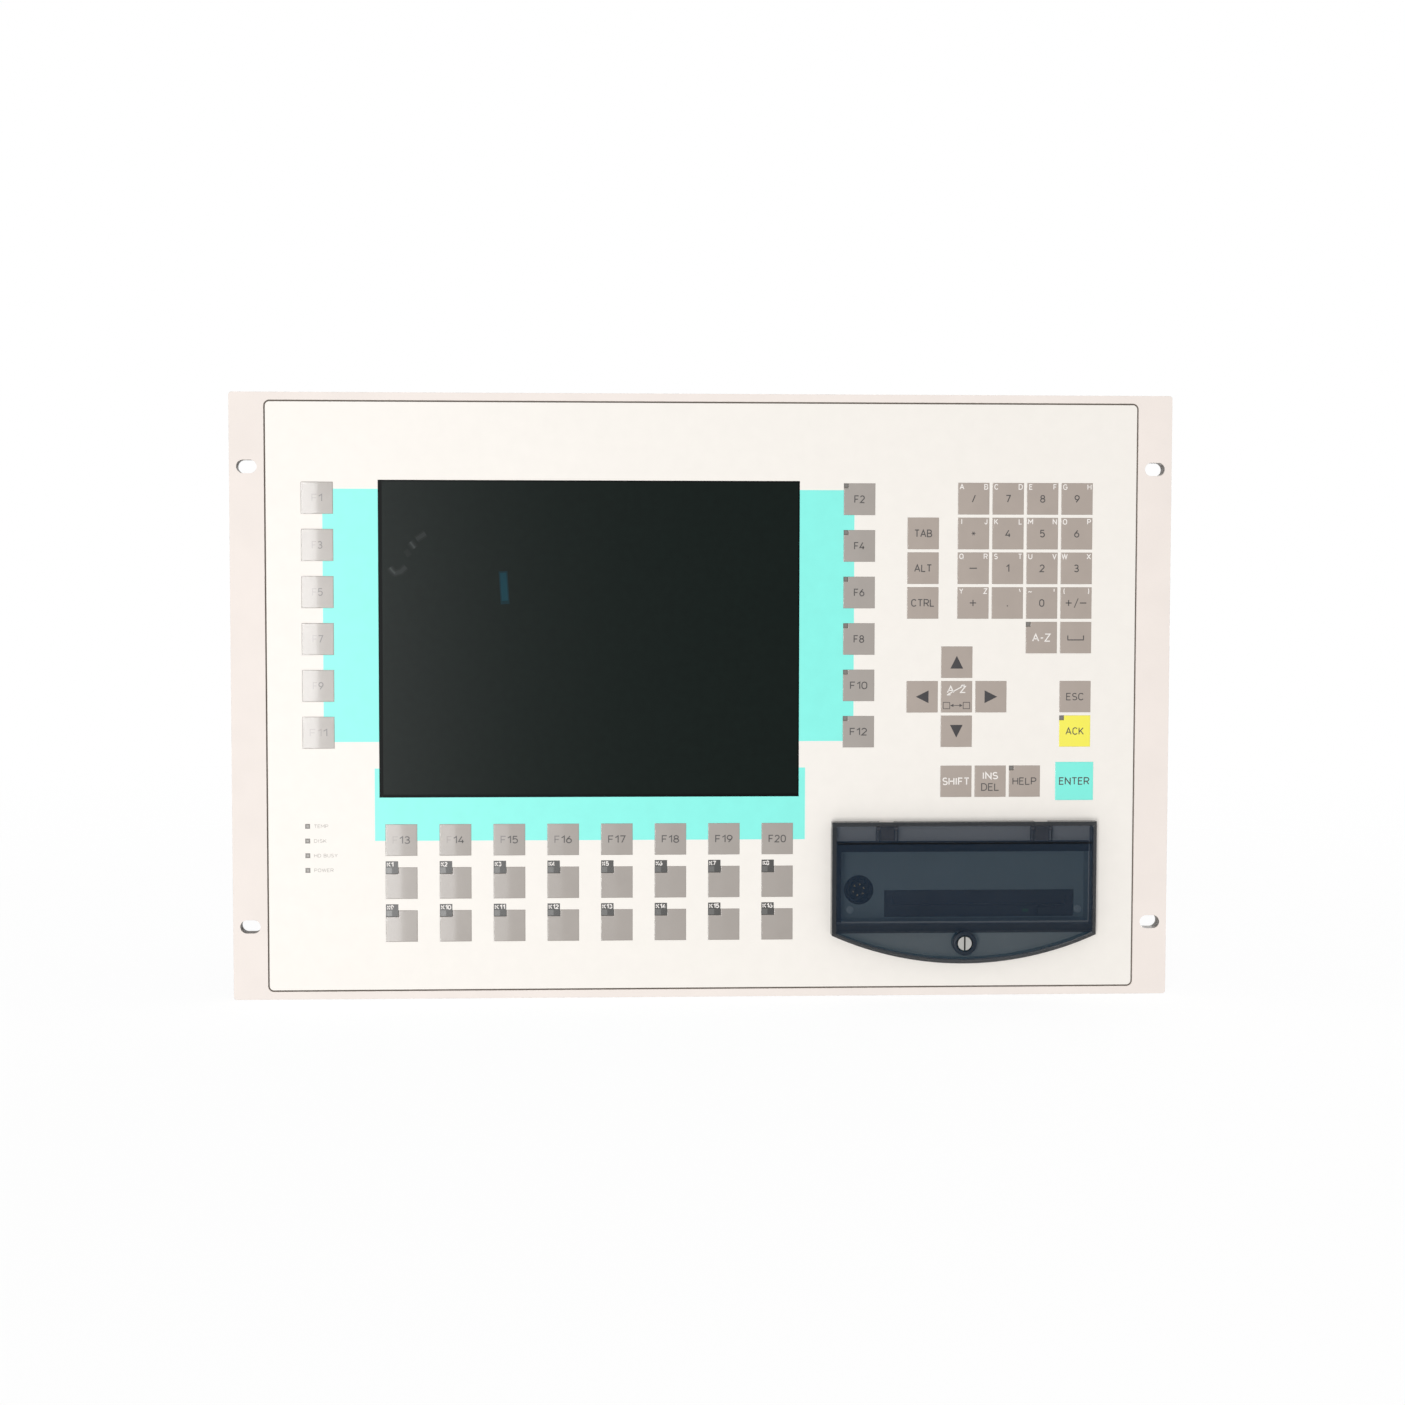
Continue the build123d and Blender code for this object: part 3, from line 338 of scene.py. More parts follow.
def makeFinish(name, look):
    material = bpy.data.materials.new(name)
    material.use_nodes = True
    tree = material.node_tree
    shader = tree.nodes["Principled BSDF"]
    colour = toLinear(look["colour"])
    drift = look["drift"] * finishValues["cloudShare"]
    skin = useGroup(tree, grain, Size=look["size"], Stretch=look.get("stretch", (1, 1, 1)))
    low = (*[part * (1 - drift) for part in colour[:3]], 1.0)
    high = (*[min(part * (1 + drift), 1.0) for part in colour[:3]], 1.0)
    base = mixColour(tree, skin.outputs["Cloud"], low, high)
    spread = finishValues["roughSpread"]
    reach = (look["rough"] * (1 - spread), min(look["rough"] * (1 + spread), 1.0))
    gloss = remap(tree, skin.outputs["Height"], finishValues["grainSpan"], reach)
    if "wear" in look:
        worn = useGroup(tree, edgeWear, Width=look["wearWidth"])
        base = mixColour(tree, worn.outputs["Mask"], base, toLinear(look["wear"]))
    layers = [("scratched", scratches, finishValues["scratchTone"]),
              ("dusty", dust, toLinear(finishValues["dustColour"]))]
    for label, group, tone in layers:
        if label in look:
            layer = useGroup(tree, group)
            share = sumOf(tree, "MULTIPLY", layer.outputs["Mask"], look[label])
            base = mixColour(tree, share, base, tone)
            gloss = sumOf(tree, "ADD", gloss, share, clamp=True)
    bump = addNode(tree, "Bump", {
        "Height": skin.outputs["Height"], "Distance": look["depth"] * mm, "Strength": finishValues["bump"]})
    tree.links.new(base, shader.inputs["Base Color"])
    tree.links.new(gloss, shader.inputs["Roughness"])
    tree.links.new(bump.outputs[0], shader.inputs["Normal"])
    shader.inputs["Metallic"].default_value = look.get("metal", 0.0)
    shader.inputs["Specular IOR Level"].default_value = look.get("specular", 0.5)
    shader.inputs["Coat Weight"].default_value = look.get("coat", 0.0)
    shader.inputs["Coat Roughness"].default_value = look.get("coatRough", 0.1)
    shader.inputs["Alpha"].default_value = look.get("alpha", 1.0)
    material.diffuse_color = colour
    return material


def addSpangle(material):
    tree = material.node_tree
    shader = tree.nodes["Principled BSDF"]
    flakes = useGroup(tree, spangle, Size=finishValues["spangleSize"])
    plain = shader.inputs["Base Color"].links[0].from_socket
    shade = remap(tree, flakes.outputs["Tone"], (0.0, 1.0), finishValues["spangleReach"])
    toned = mixColour(tree, shade, plain, toLinear(finishValues["spangleColour"]))
    tree.links.new(toned, shader.inputs["Base Color"])


finish = {name: makeFinish(name, look) for name, look in finishes.items()}
addSpangle(finish["zincSheet"])
print("finishes ready:", len(finish))


# Small helpers for meshes
def dress(node, name):
    mesh = nodes[node].data
    mesh.materials.clear()
    mesh.materials.append(finish[name])


def paintFaces(node, name, test):
    # gives the faces whose middle passes the test a finish of their own
    mesh = nodes[node].data
    mesh.materials.append(finish[name])
    slot = len(mesh.materials) - 1
    for face in mesh.polygons:
        if test(face.center / mm, face.normal):
            face.material_index = slot


def softenEdges(piece, width, angle=50):
    bevel = piece.modifiers.new("softEdges", "BEVEL")
    bevel.width = width * mm
    bevel.segments = 2
    bevel.limit_method = "ANGLE"
    bevel.angle_limit = math.radians(angle)
    bevel.harden_normals = False


def newPiece(name, mesh, body, names, smooth=None):
    piece = bpy.data.objects.new(name, mesh)
    bpy.context.scene.collection.objects.link(piece)
    for each in names:
        mesh.materials.append(finish[each])
    if smooth is not None:
        mesh.shade_smooth()
        mesh.set_sharp_from_angle(angle=math.radians(smooth))
    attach(piece, body)
    return piece


def meshFrom(name, points, faces, slots=None):
    mesh = bpy.data.meshes.new(name)
    mesh.from_pydata([(x * mm, y * mm, z * mm) for x, y, z in points], [], faces)
    if slots:
        for face, slot in zip(mesh.polygons, slots):
            face.material_index = slot
    mesh.validate()
    return mesh


def joinMeshes(name, meshes):
    whole = bmesh.new()
    for mesh in meshes:
        whole.from_mesh(mesh)
        bpy.data.meshes.remove(mesh)
    bmesh.ops.recalc_face_normals(whole, faces=whole.faces)
    joined = bpy.data.meshes.new(name)
    whole.to_mesh(joined)
    whole.free()
    return joined


def joinedPiece(name, meshes, body, names, smooth=None):
    return newPiece(name, joinMeshes(name, meshes), body, names, smooth)


def weld(mesh, slotOf=None):
    # joins doubled corners; slotOf picks each face's finish from its middle in millimetres
    whole = bmesh.new()
    whole.from_mesh(mesh)
    bmesh.ops.remove_doubles(whole, verts=whole.verts, dist=1e-6)
    bmesh.ops.recalc_face_normals(whole, faces=whole.faces)
    if slotOf:
        for face in whole.faces:
            face.material_index = slotOf(face.calc_center_median() / mm)
    whole.to_mesh(mesh)
    whole.free()


def solidBoxes(node):
    # limits of each loose solid of a CAD node, in millimetres
    mesh = nodes[node].data
    keys = {}
    parent = []

    def root(index):
        while parent[index] != index:
            parent[index] = parent[parent[index]]
            index = parent[index]
        return index

    place = []
    for vertex in mesh.vertices:
        key = tuple(round(part, 6) for part in vertex.co)
        if key not in keys:
            keys[key] = len(parent)
            parent.append(len(parent))
        place.append(keys[key])
    for edge in mesh.edges:
        first, second = (root(place[index]) for index in edge.vertices)
        parent[first] = second
    groups = {}
    for key, index in keys.items():
        groups.setdefault(root(index), []).append(key)
    boxes = []
    for points in groups.values():
        low = [min(point[axis] for point in points) / mm for axis in range(3)]
        high = [max(point[axis] for point in points) / mm for axis in range(3)]
        boxes.append((low, high))
    return boxes


def ringAngles(count, start=0.0):
    return [step * math.tau / count + start for step in range(count)]


def stitched(count, pairs):
    # walls between pairs of rings, each of count points
    faces = []
    for first, second in pairs:
        near, far = first * count, second * count
        for step in range(count):
            after = (step + 1) % count
            faces.append((near + step, near + after, far + after, far + step))
    return faces


def atDepth(outline, y):
    return [(x, y, z) for x, z in outline]


def lathe(name, x, z, profile, angles=None):
    # turns (radius, y) steps about the Y axis through x, z; a third item gives the radius by angle
    angles = angles or ringAngles(32)
    points = []
    for radius, y, *shape in profile:
        for angle in angles:
            span = shape[0](angle) if shape else radius
            points.append((x + span * math.cos(angle), y, z + span * math.sin(angle)))
    count = len(angles)
    last = len(profile) - 1
    faces = stitched(count, [(ring, ring + 1) for ring in range(last)])
    faces.append(tuple(range(last * count, last * count + count)))
    faces.append(tuple(reversed(range(count))))
    return meshFrom(name, points, faces)


def blockMesh(left, right, front, back, low, high):
    points = [(x, y, z) for x in (left, right) for y in (front, back) for z in (low, high)]
    faces = [(0, 1, 3, 2), (4, 6, 7, 5), (0, 4, 5, 1), (2, 3, 7, 6), (0, 2, 6, 4), (1, 5, 7, 3)]
    return meshFrom("block", points, faces)


def prism(outline, front, back):
    count = len(outline)
    faces = [tuple(range(count)), tuple(reversed(range(count, 2 * count)))] + stitched(count, [(1, 0)])
    return meshFrom("prism", atDepth(outline, front) + atDepth(outline, back), faces)


def tube(outer, inner, front, back, floor):
    # a shell between two outlines, open to the rear down to a floor
    count = len(outer)
    points = atDepth(outer, front) + atDepth(outer, back) + atDepth(inner, back) + atDepth(inner, floor)
    faces = [tuple(range(count)), tuple(range(3 * count, 4 * count))]
    return meshFrom("tube", points, faces + stitched(count, [(0, 1), (1, 2), (2, 3)]))


def frameMesh(outer, inner, front, back):
    # a closed ring between two outlines of the same count
    points = atDepth(outer, front) + atDepth(outer, back) + atDepth(inner, back) + atDepth(inner, front)
    return meshFrom("ring", points, stitched(len(outer), [(0, 1), (1, 2), (2, 3), (3, 0)]))


def steppedFace(xs, zs, depth, base):
    # a front of rectangular cells at different depths, with walls between them, closed at base
    points = []
    faces = []

    def face(corners):
        faces.append(tuple(range(len(points), len(points) + 4)))
        points.extend(corners)

    columns = len(xs) - 1
    rows = len(zs) - 1
    table = [[depth((xs[i] + xs[i + 1]) / 2, (zs[j] + zs[j + 1]) / 2) for j in range(rows)]
             for i in range(columns)]

    def depthAt(i, j):
        return table[i][j] if 0 <= i < columns and 0 <= j < rows else base

    for i in range(columns):
        for j in range(rows):
            y = table[i][j]
            left, right, low, high = xs[i], xs[i + 1], zs[j], zs[j + 1]
            face([(left, y, low), (right, y, low), (right, y, high), (left, y, high)])
    for i in range(columns + 1):
        for j in range(rows):
            near, far = depthAt(i - 1, j), depthAt(i, j)
            if near != far:
                x = xs[i]
                face([(x, near, zs[j]), (x, near, zs[j + 1]), (x, far, zs[j + 1]), (x, far, zs[j])])
    for j in range(rows + 1):
        for i in range(columns):
            near, far = depthAt(i, j - 1), depthAt(i, j)
            if near != far:
                z = zs[j]
                face([(xs[i], near, z), (xs[i + 1], near, z), (xs[i + 1], far, z), (xs[i], far, z)])
    face([(xs[0], base, zs[0]), (xs[0], base, zs[-1]), (xs[-1], base, zs[-1]), (xs[-1], base, zs[0])])
    return meshFrom("stepped", points, faces)


# Frame pieces that keep their CAD shape
carried = {
    "front_plate": "plateCoat", "keypad_circuit": "circuitFilm", "snap_domes": "domeSteel",
    "indicator_windows": "windowDark", "lcd_cell": "lcdGlass", "lcd_frame": "blackMetal",
    "display_bracket": "zincSheet", "power_board": "boardGreen", "main_board": "boardGreen",
    "rear_housing": "zincSheet", "rear_cover": "zincSheet", "panel_gasket": "foam",
    "compartment_tray": "trayPlastic", "disk_drive": "driveMetal", "drive_button": "drivePlastic",
    "drive_shutter": "drivePlastic", "keyboard_socket": "socketPlastic", "flap": "smokedPlastic",
    "hinge_pins": "pinSteel", "flap_screw": "lockNickel", "screw_ring": "pinSteel",
}
for node, name in carried.items():
    dress(node, name)

# Faces of frame pieces with a finish of their own: places and distances in millimetres
faceValues = {
    "chipRise": 1.7, "bezelDepth": 3.01, "flangeFront": -8.0, "earFront": -9.4,
    "skin": 0.1, "facing": 0.98, "lipDrop": 57.5, "lipDepth": 1.5,
    "bandTop": 1.7, "bandLow": 10, "bandSide": 2.4,
    "cheekSpacing": 40.1, "cheekReach": 5.6, "cheekFront": 2.6, "cheekBack": 1.2,
    "screwSlotHalf": 0.6, "screwSlotDepth": 1.3,
    "rackSlotNear": 224, "rackSlotFar": 240.6, "rackSlotHeight": 124, "rackSlotFacing": 0.5,
}
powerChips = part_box("power_board")[0][1] / mm + faceValues["chipRise"]
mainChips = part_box("main_board")[1][1] / mm - faceValues["chipRise"]
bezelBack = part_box("disk_drive")[0][1] / mm + faceValues["bezelDepth"]
flapLow, flapHigh = (Vector(corner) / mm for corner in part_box("flap"))
screwLow, screwHigh = (Vector(corner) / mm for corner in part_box("flap_screw"))
screwX = (screwLow.x + screwHigh.x) / 2
lipHigh = flapHigh.z - faceValues["lipDrop"]
flapSkin = flapHigh.y - faceValues["skin"]


def inHingeBand(middle):
    return flapHigh.z - faceValues["bandLow"] < middle.z < flapHigh.z - faceValues["bandTop"]


def onFlapEdge(middle, normal):
    side = faceValues["bandSide"]
    edge = abs(normal.y) < faceValues["facing"] or (middle.y > flapSkin and middle.z > lipHigh)
    return edge and not (inHingeBand(middle) and flapLow.x + side < middle.x < flapHigh.x - side)


def onFlapLip(middle, normal):
    deep = flapLow.y + faceValues["lipDepth"] < middle.y < flapSkin
    return abs(normal.y) > faceValues["facing"] and middle.z < lipHigh and deep


def onCheek(middle, normal):
    near = abs(abs(middle.x - screwX) - faceValues["cheekSpacing"]) < faceValues["cheekReach"]
    deep = flapLow.y + faceValues["cheekFront"] < middle.y < flapHigh.y - faceValues["cheekBack"]
    return inHingeBand(middle) and near and deep and abs(normal.y) < faceValues["facing"]


def inScrewSlot(middle, normal):
    deep = screwLow.y + faceValues["skin"] < middle.y < screwLow.y + faceValues["screwSlotDepth"]
    return abs(middle.x - screwX) < faceValues["screwSlotHalf"] and deep


def inRackSlot(middle, normal):
    across = faceValues["rackSlotNear"] < abs(middle.x) < faceValues["rackSlotFar"]
    wall = abs(normal.y) < faceValues["rackSlotFacing"]
    return wall and across and abs(middle.z) < faceValues["rackSlotHeight"]


paintFaces("power_board", "chipBlack", lambda middle, normal: middle.y > powerChips)
paintFaces("main_board", "chipBlack", lambda middle, normal: middle.y < mainChips)
paintFaces("disk_drive", "drivePlastic", lambda middle, normal: middle.y < bezelBack)
paintFaces("compartment_tray", "trayFlange", lambda middle, normal: middle.y < faceValues["flangeFront"])
paintFaces("compartment_tray", "earPlastic", lambda middle, normal: middle.y < faceValues["earFront"])
paintFaces("flap", "smokedEdge", onFlapEdge)
paintFaces("flap", "smokedLip", onFlapLip)
# The lock screw's slot faces are painted near black: painted shade in the slot
paintFaces("flap_screw", "grooveShade", inScrewSlot)
paintFaces("flap", "cheekPlastic", onCheek)
# The rack slots' side walls take a darker finish: painted shade inside the slots
paintFaces("front_plate", "slotWallShade", inRackSlot)
for node, width in (("front_plate", 0.35), ("flap_screw", 0.2), ("drive_button", 0.3)):
    softenEdges(nodes[node], width)
print("frame pieces dressed")

# Keys: pads with a low ridge down the middle, in place of the plain CAD pads
keyValues = {
    "ridgeRise": 0.1,
    "ridgeSoftness": 0.16,
    "bowRise": 0.05,
    "rimRise": 0.03,
    "rimWidth": 0.3,
    "notchGap": 0.15,
    "warmFrom": 100,
    "leastStep": 0.05,
    "xSteps": (0.0, 0.28, 0.7, 1.2, 1.9, 3.0, 4.6, 6.2),
    "zSteps": (0.0, 2.4, 4.8, 6.6),
    "rimSteps": (0.0, 0.06, 0.16, 0.3, 0.5, 0.9),
}
markValues = {"lampWidth": 2.4, "statusWidth": 5}
keyNodes = [name for name in nodes if name.startswith("key_") or name.startswith("keys_")]
keyBoxes = {name: solidBoxes(name) for name in keyNodes}
filmFront = -8.95
keyBack = keyBoxes["key_7"][0][1][1]
tagBoxes, lampBoxes, statusBoxes = [], [], []
for box in solidBoxes("indicator_windows"):
    width = box[1][0] - box[0][0]
    if width < markValues["lampWidth"]:
        lampBoxes.append(box)
    elif width < markValues["statusWidth"]:
        statusBoxes.append(box)
    else:
        tagBoxes.append(box)
tagBoxes.sort(key=lambda box: (-round(box[0][2]), box[0][0]))
statusBoxes.sort(key=lambda box: -box[0][2])


def middleOf(box):
    return (box[0][0] + box[1][0]) / 2, (box[0][2] + box[1][2]) / 2


def contains(box, x, z):
    return box[0][0] < x < box[1][0] and box[0][2] < z < box[1][2]


paintFaces("indicator_windows", "windowPale", lambda middle, normal: any(
    contains(box, middle.x, middle.z) for box in lampBoxes + statusBoxes))


def crownRise(x, z, box, notch=None):
    # how far a pad's front stands out at a place: a ridge, a slight bow and a raised rim
    middleX, middleZ = middleOf(box)
    half = (box[1][0] - box[0][0]) / 2
    across = (x - middleX) / half
    along = (z - middleZ) / half
    soft = keyValues["ridgeSoftness"]
    span = math.hypot(1, soft) - soft
    ridge = 1 - (math.hypot(across, soft) - soft) / span
    rise = keyValues["ridgeRise"] * max(ridge, 0) + keyValues["bowRise"] * max(1 - along * along, 0)
    room = min(x - box[0][0], box[1][0] - x, z - box[0][2], box[1][2] - z)
    if notch:
        away = math.hypot(max(x - notch[0], 0), max(notch[1] - z, 0))
        room = min(room, away)
    share = min(max(room, 0) / keyValues["rimWidth"], 1)
    return rise * min(share * 3, 1) + keyValues["rimRise"] * math.sqrt(1 - (1 - share) ** 2)


def notchOf(box):
    # right and low edge of the corner that a lamp window or a tag takes from a pad
    gap = keyValues["notchGap"]
    for mark in tagBoxes + lampBoxes:
        if abs(mark[0][0] - box[0][0]) < 2 * gap and box[0][2] < mark[0][2] < box[1][2]:
            return mark[1][0] + gap, mark[0][2] - gap
    return None


def thinned(values, least, keep=None):
    # sorted steps without near doubles; the one to keep always stays
    kept = []
    for value in sorted(values):
        if kept and value - kept[-1] < least:
            if keep is not None and abs(value - keep) < 1e-6:
                kept[-1] = value
            continue
        kept.append(value)
    return kept


def padMesh(box):
    notch = notchOf(box)
    xs = set()
    zs = set()
    middleX, middleZ = middleOf(box)
    for step in keyValues["rimSteps"]:
        xs.update((box[0][0] + step, box[1][0] - step))
        zs.update((box[0][2] + step, box[1][2] - step))
        if notch:
            xs.add(notch[0] + step)
            zs.add(notch[1] - step)
    for step in keyValues["xSteps"]:
        xs.update((middleX - step, middleX + step))
    for step in keyValues["zSteps"]:
        zs.update((middleZ - step, middleZ + step))
    xs = thinned(xs, keyValues["leastStep"], notch[0] if notch else None)
    zs = thinned(zs, keyValues["leastStep"], notch[1] if notch else None)
    pad = bmesh.new()
    made = {}

    def corner(i, j):
        if (i, j) not in made:
            y = filmFront - crownRise(xs[i], zs[j], box, notch)
            made[i, j] = pad.verts.new((xs[i] * mm, y * mm, zs[j] * mm))
        return made[i, j]

    for i in range(len(xs) - 1):
        for j in range(len(zs) - 1):
            x = (xs[i] + xs[i + 1]) / 2
            z = (zs[j] + zs[j + 1]) / 2
            if notch and x < notch[0] and z > notch[1]:
                continue
            pad.faces.new((corner(i, j), corner(i + 1, j), corner(i + 1, j + 1), corner(i, j + 1)))
    rim = [edge for edge in pad.edges if edge.is_boundary]
    walls = bmesh.ops.extrude_edge_only(pad, edges=rim)
    low = [item for item in walls["geom"] if isinstance(item, bmesh.types.BMVert)]
    for vertex in low:
        vertex.co.y = keyBack * mm
    ends = [item for item in walls["geom"] if isinstance(item, bmesh.types.BMEdge) and item.is_boundary]
    bmesh.ops.contextual_create(pad, geom=ends)
    mesh = bpy.data.meshes.new("pad")
    pad.to_mesh(mesh)
    pad.free()
    return mesh


keyFinish = {"key_ack": "keyYellow", "key_enter": "keyTeal"}
for name in keyNodes:
    warm = keyBoxes[name][0][0][0] > keyValues["warmFrom"]
    look = keyFinish.get(name, "keyWarm" if warm else "keyGrey")
    pads = [padMesh(box) for box in keyBoxes[name]]
    pad = joinedPiece("pad_" + name, pads, name, [look], smooth=40)
    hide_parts(name)
print("key pads ready:", sum(len(boxes) for boxes in keyBoxes.values()))

# Printed film over the plate's recess, with a window for each key
filmValues = {
    "windowGap": 0.04,
    "paneGap": 0.05,
    "corner": 2.2,
    "thickness": 2.2,
    "edgeRound": 0.09,
    "darkEdge": 0.72,
    "edgeSink": 0.9,
    "edgeLap": 0.02,
    "lockHole": 2.9,
    "lockMargin": 1,
    "leastStep": 0.002,
    "prints": [(-194.5, -166.0, -22.64, 106.35), (48.4, 77.0, -22.64, 106.35), (-168.8, 52.1, -73.5, -36.3)],
}


def makeFilm():
    low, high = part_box("overlay_foil")
    left, right, bottom, top = low[0] / mm, high[0] / mm, low[2] / mm, high[2] / mm
    tray = [[part / mm for part in corner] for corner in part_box("compartment_tray")]
    pane = [[part / mm for part in corner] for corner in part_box("screen_pane")]
    keys = [box for boxes in keyBoxes.values() for box in boxes]
    holes = [(box, filmValues["windowGap"]) for box in keys] + [(box, 0) for box in tagBoxes + statusBoxes]
    holes += [(pane, filmValues["paneGap"]), (tray, 0)]
    windows = [(box[0][0] - gap, box[1][0] + gap, box[0][2] - gap, box[1][2] + gap) for box, gap in holes]
    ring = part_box("screw_ring")
    lockX = (ring[0][0] + ring[1][0]) / 2 / mm
    lockZ = (ring[0][2] + ring[1][2]) / 2 / mm
    hole = filmValues["lockHole"]
    reach = hole + filmValues["lockMargin"]
    lockCell = (lockX - reach, lockX + reach, lockZ - reach, lockZ + reach)
    radius = filmValues["corner"]
    xs = {left, left + radius, right - radius, right, lockCell[0], lockCell[1]}
    zs = {bottom, bottom + radius, top - radius, top, lockCell[2], lockCell[3]}
    for x0, x1, z0, z1 in windows + filmValues["prints"]:
        xs.update((x0, x1))
        zs.update((z0, z1))
    xs = thinned(xs, filmValues["leastStep"])
    zs = thinned(zs, filmValues["leastStep"])
    sheet = bmesh.new()
    made = {}

    def at(x, z):
        key = (round(x, 3), round(z, 3))
        if key not in made:
            made[key] = sheet.verts.new((x * mm, filmFront * mm, z * mm))
        return made[key]

    def within(areas, x, z):
        return any(x0 < x < x1 and z0 < z < z1 for x0, x1, z0, z1 in areas)

    for i in range(len(xs) - 1):
        for j in range(len(zs) - 1):
            x0, x1, z0, z1 = xs[i], xs[i + 1], zs[j], zs[j + 1]
            x, z = (x0 + x1) / 2, (z0 + z1) / 2
            if within(windows, x, z):
                continue
            side = -1 if x < left + radius else 1 if x > right - radius else 0
            end = -1 if z < bottom + radius else 1 if z > top - radius else 0
            if side and end:
                # rounded outer corner
                cx = left + radius if side < 0 else right - radius
                cz = bottom + radius if end < 0 else top - radius
                turns = [step * math.pi / 12 for step in range(7)]
                arc = [at(cx + side * radius * math.cos(t), cz + end * radius * math.sin(t)) for t in turns]
                face = sheet.faces.new([at(cx, cz)] + arc)
            elif within([lockCell], x, z):
                circle = [at(lockX + hole * math.cos(t), lockZ + hole * math.sin(t)) for t in ringAngles(32)]
                corners = [at(x1, z1), at(x0, z1), at(x0, z0), at(x1, z0)]
                for quarter in range(4):
                    first = 4 + 8 * quarter
                    inner = [circle[(first + step) % 32] for step in range(8, -1, -1)]
                    sheet.faces.new([corners[quarter], corners[(quarter + 1) % 4]] + inner)
                continue
            else:
                face = sheet.faces.new((at(x0, z0), at(x1, z0), at(x1, z1), at(x0, z1)))
            face.material_index = 1 if within(filmValues["prints"], x, z) else 0
    for face in sheet.faces:
        face.normal_update()
        if face.normal.y > 0:
            face.normal_flip()
    mesh = bpy.data.meshes.new("film")
    sheet.to_mesh(mesh)
    sheet.free()
    film = newPiece("film", mesh, "panel", ["filmCream", "filmTeal"])
    solid = film.modifiers.new("thickness", "SOLIDIFY")
    solid.thickness = filmValues["thickness"] * mm
    solid.offset = -1
    softenEdges(film, filmValues["edgeRound"], 60)
    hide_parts("overlay_foil")
    # A dark ring sunk in the gap round the film: painted shade between film and plate
    lap = filmValues["edgeLap"]
    sides = (left, right, bottom, top)
    outer = roundedOutline(sides, filmValues["darkEdge"], radius)
    inner = roundedOutline(sides, lap, radius)
    base = filmFront + filmValues["thickness"]
    ring = frameMesh(outer, inner, filmFront + filmValues["edgeSink"], base - lap)
    joinedPiece("film_gap_shade", [ring], "panel", ["filmGapShade"])


def roundedOutline(sides, grow, radius):
    # the outline of four sides, grown outward
    left, right, low, high = sides
    centres = [(right - radius, high - radius), (left + radius, high - radius),
               (left + radius, low + radius), (right - radius, low + radius)]
    reach = radius + grow
    outline = []
    for quarter, (cx, cz) in enumerate(centres):
        for step in range(7):
            turn = math.radians(90 * quarter + 15 * step)
            outline.append((cx + reach * math.cos(turn), cz + reach * math.sin(turn)))
    return outline


makeFilm()
print("film ready")

# Legends: words, signs and arrows printed on the keys
legendValues = {"lift": 0.02, "capHeight": 4.0, "pen": 0.56, "cornerHeight": 2.9, "cornerPen": 0.46,
                "cornerInsets": (1.95, 1.7), "cornerTop": 0.55, "cornerStretch": 1.05,
                "letterGap": 0.24, "fineStep": 0.7, "arcStep": 20, "mitreLimit": 0.45, "arrowRows": 8}
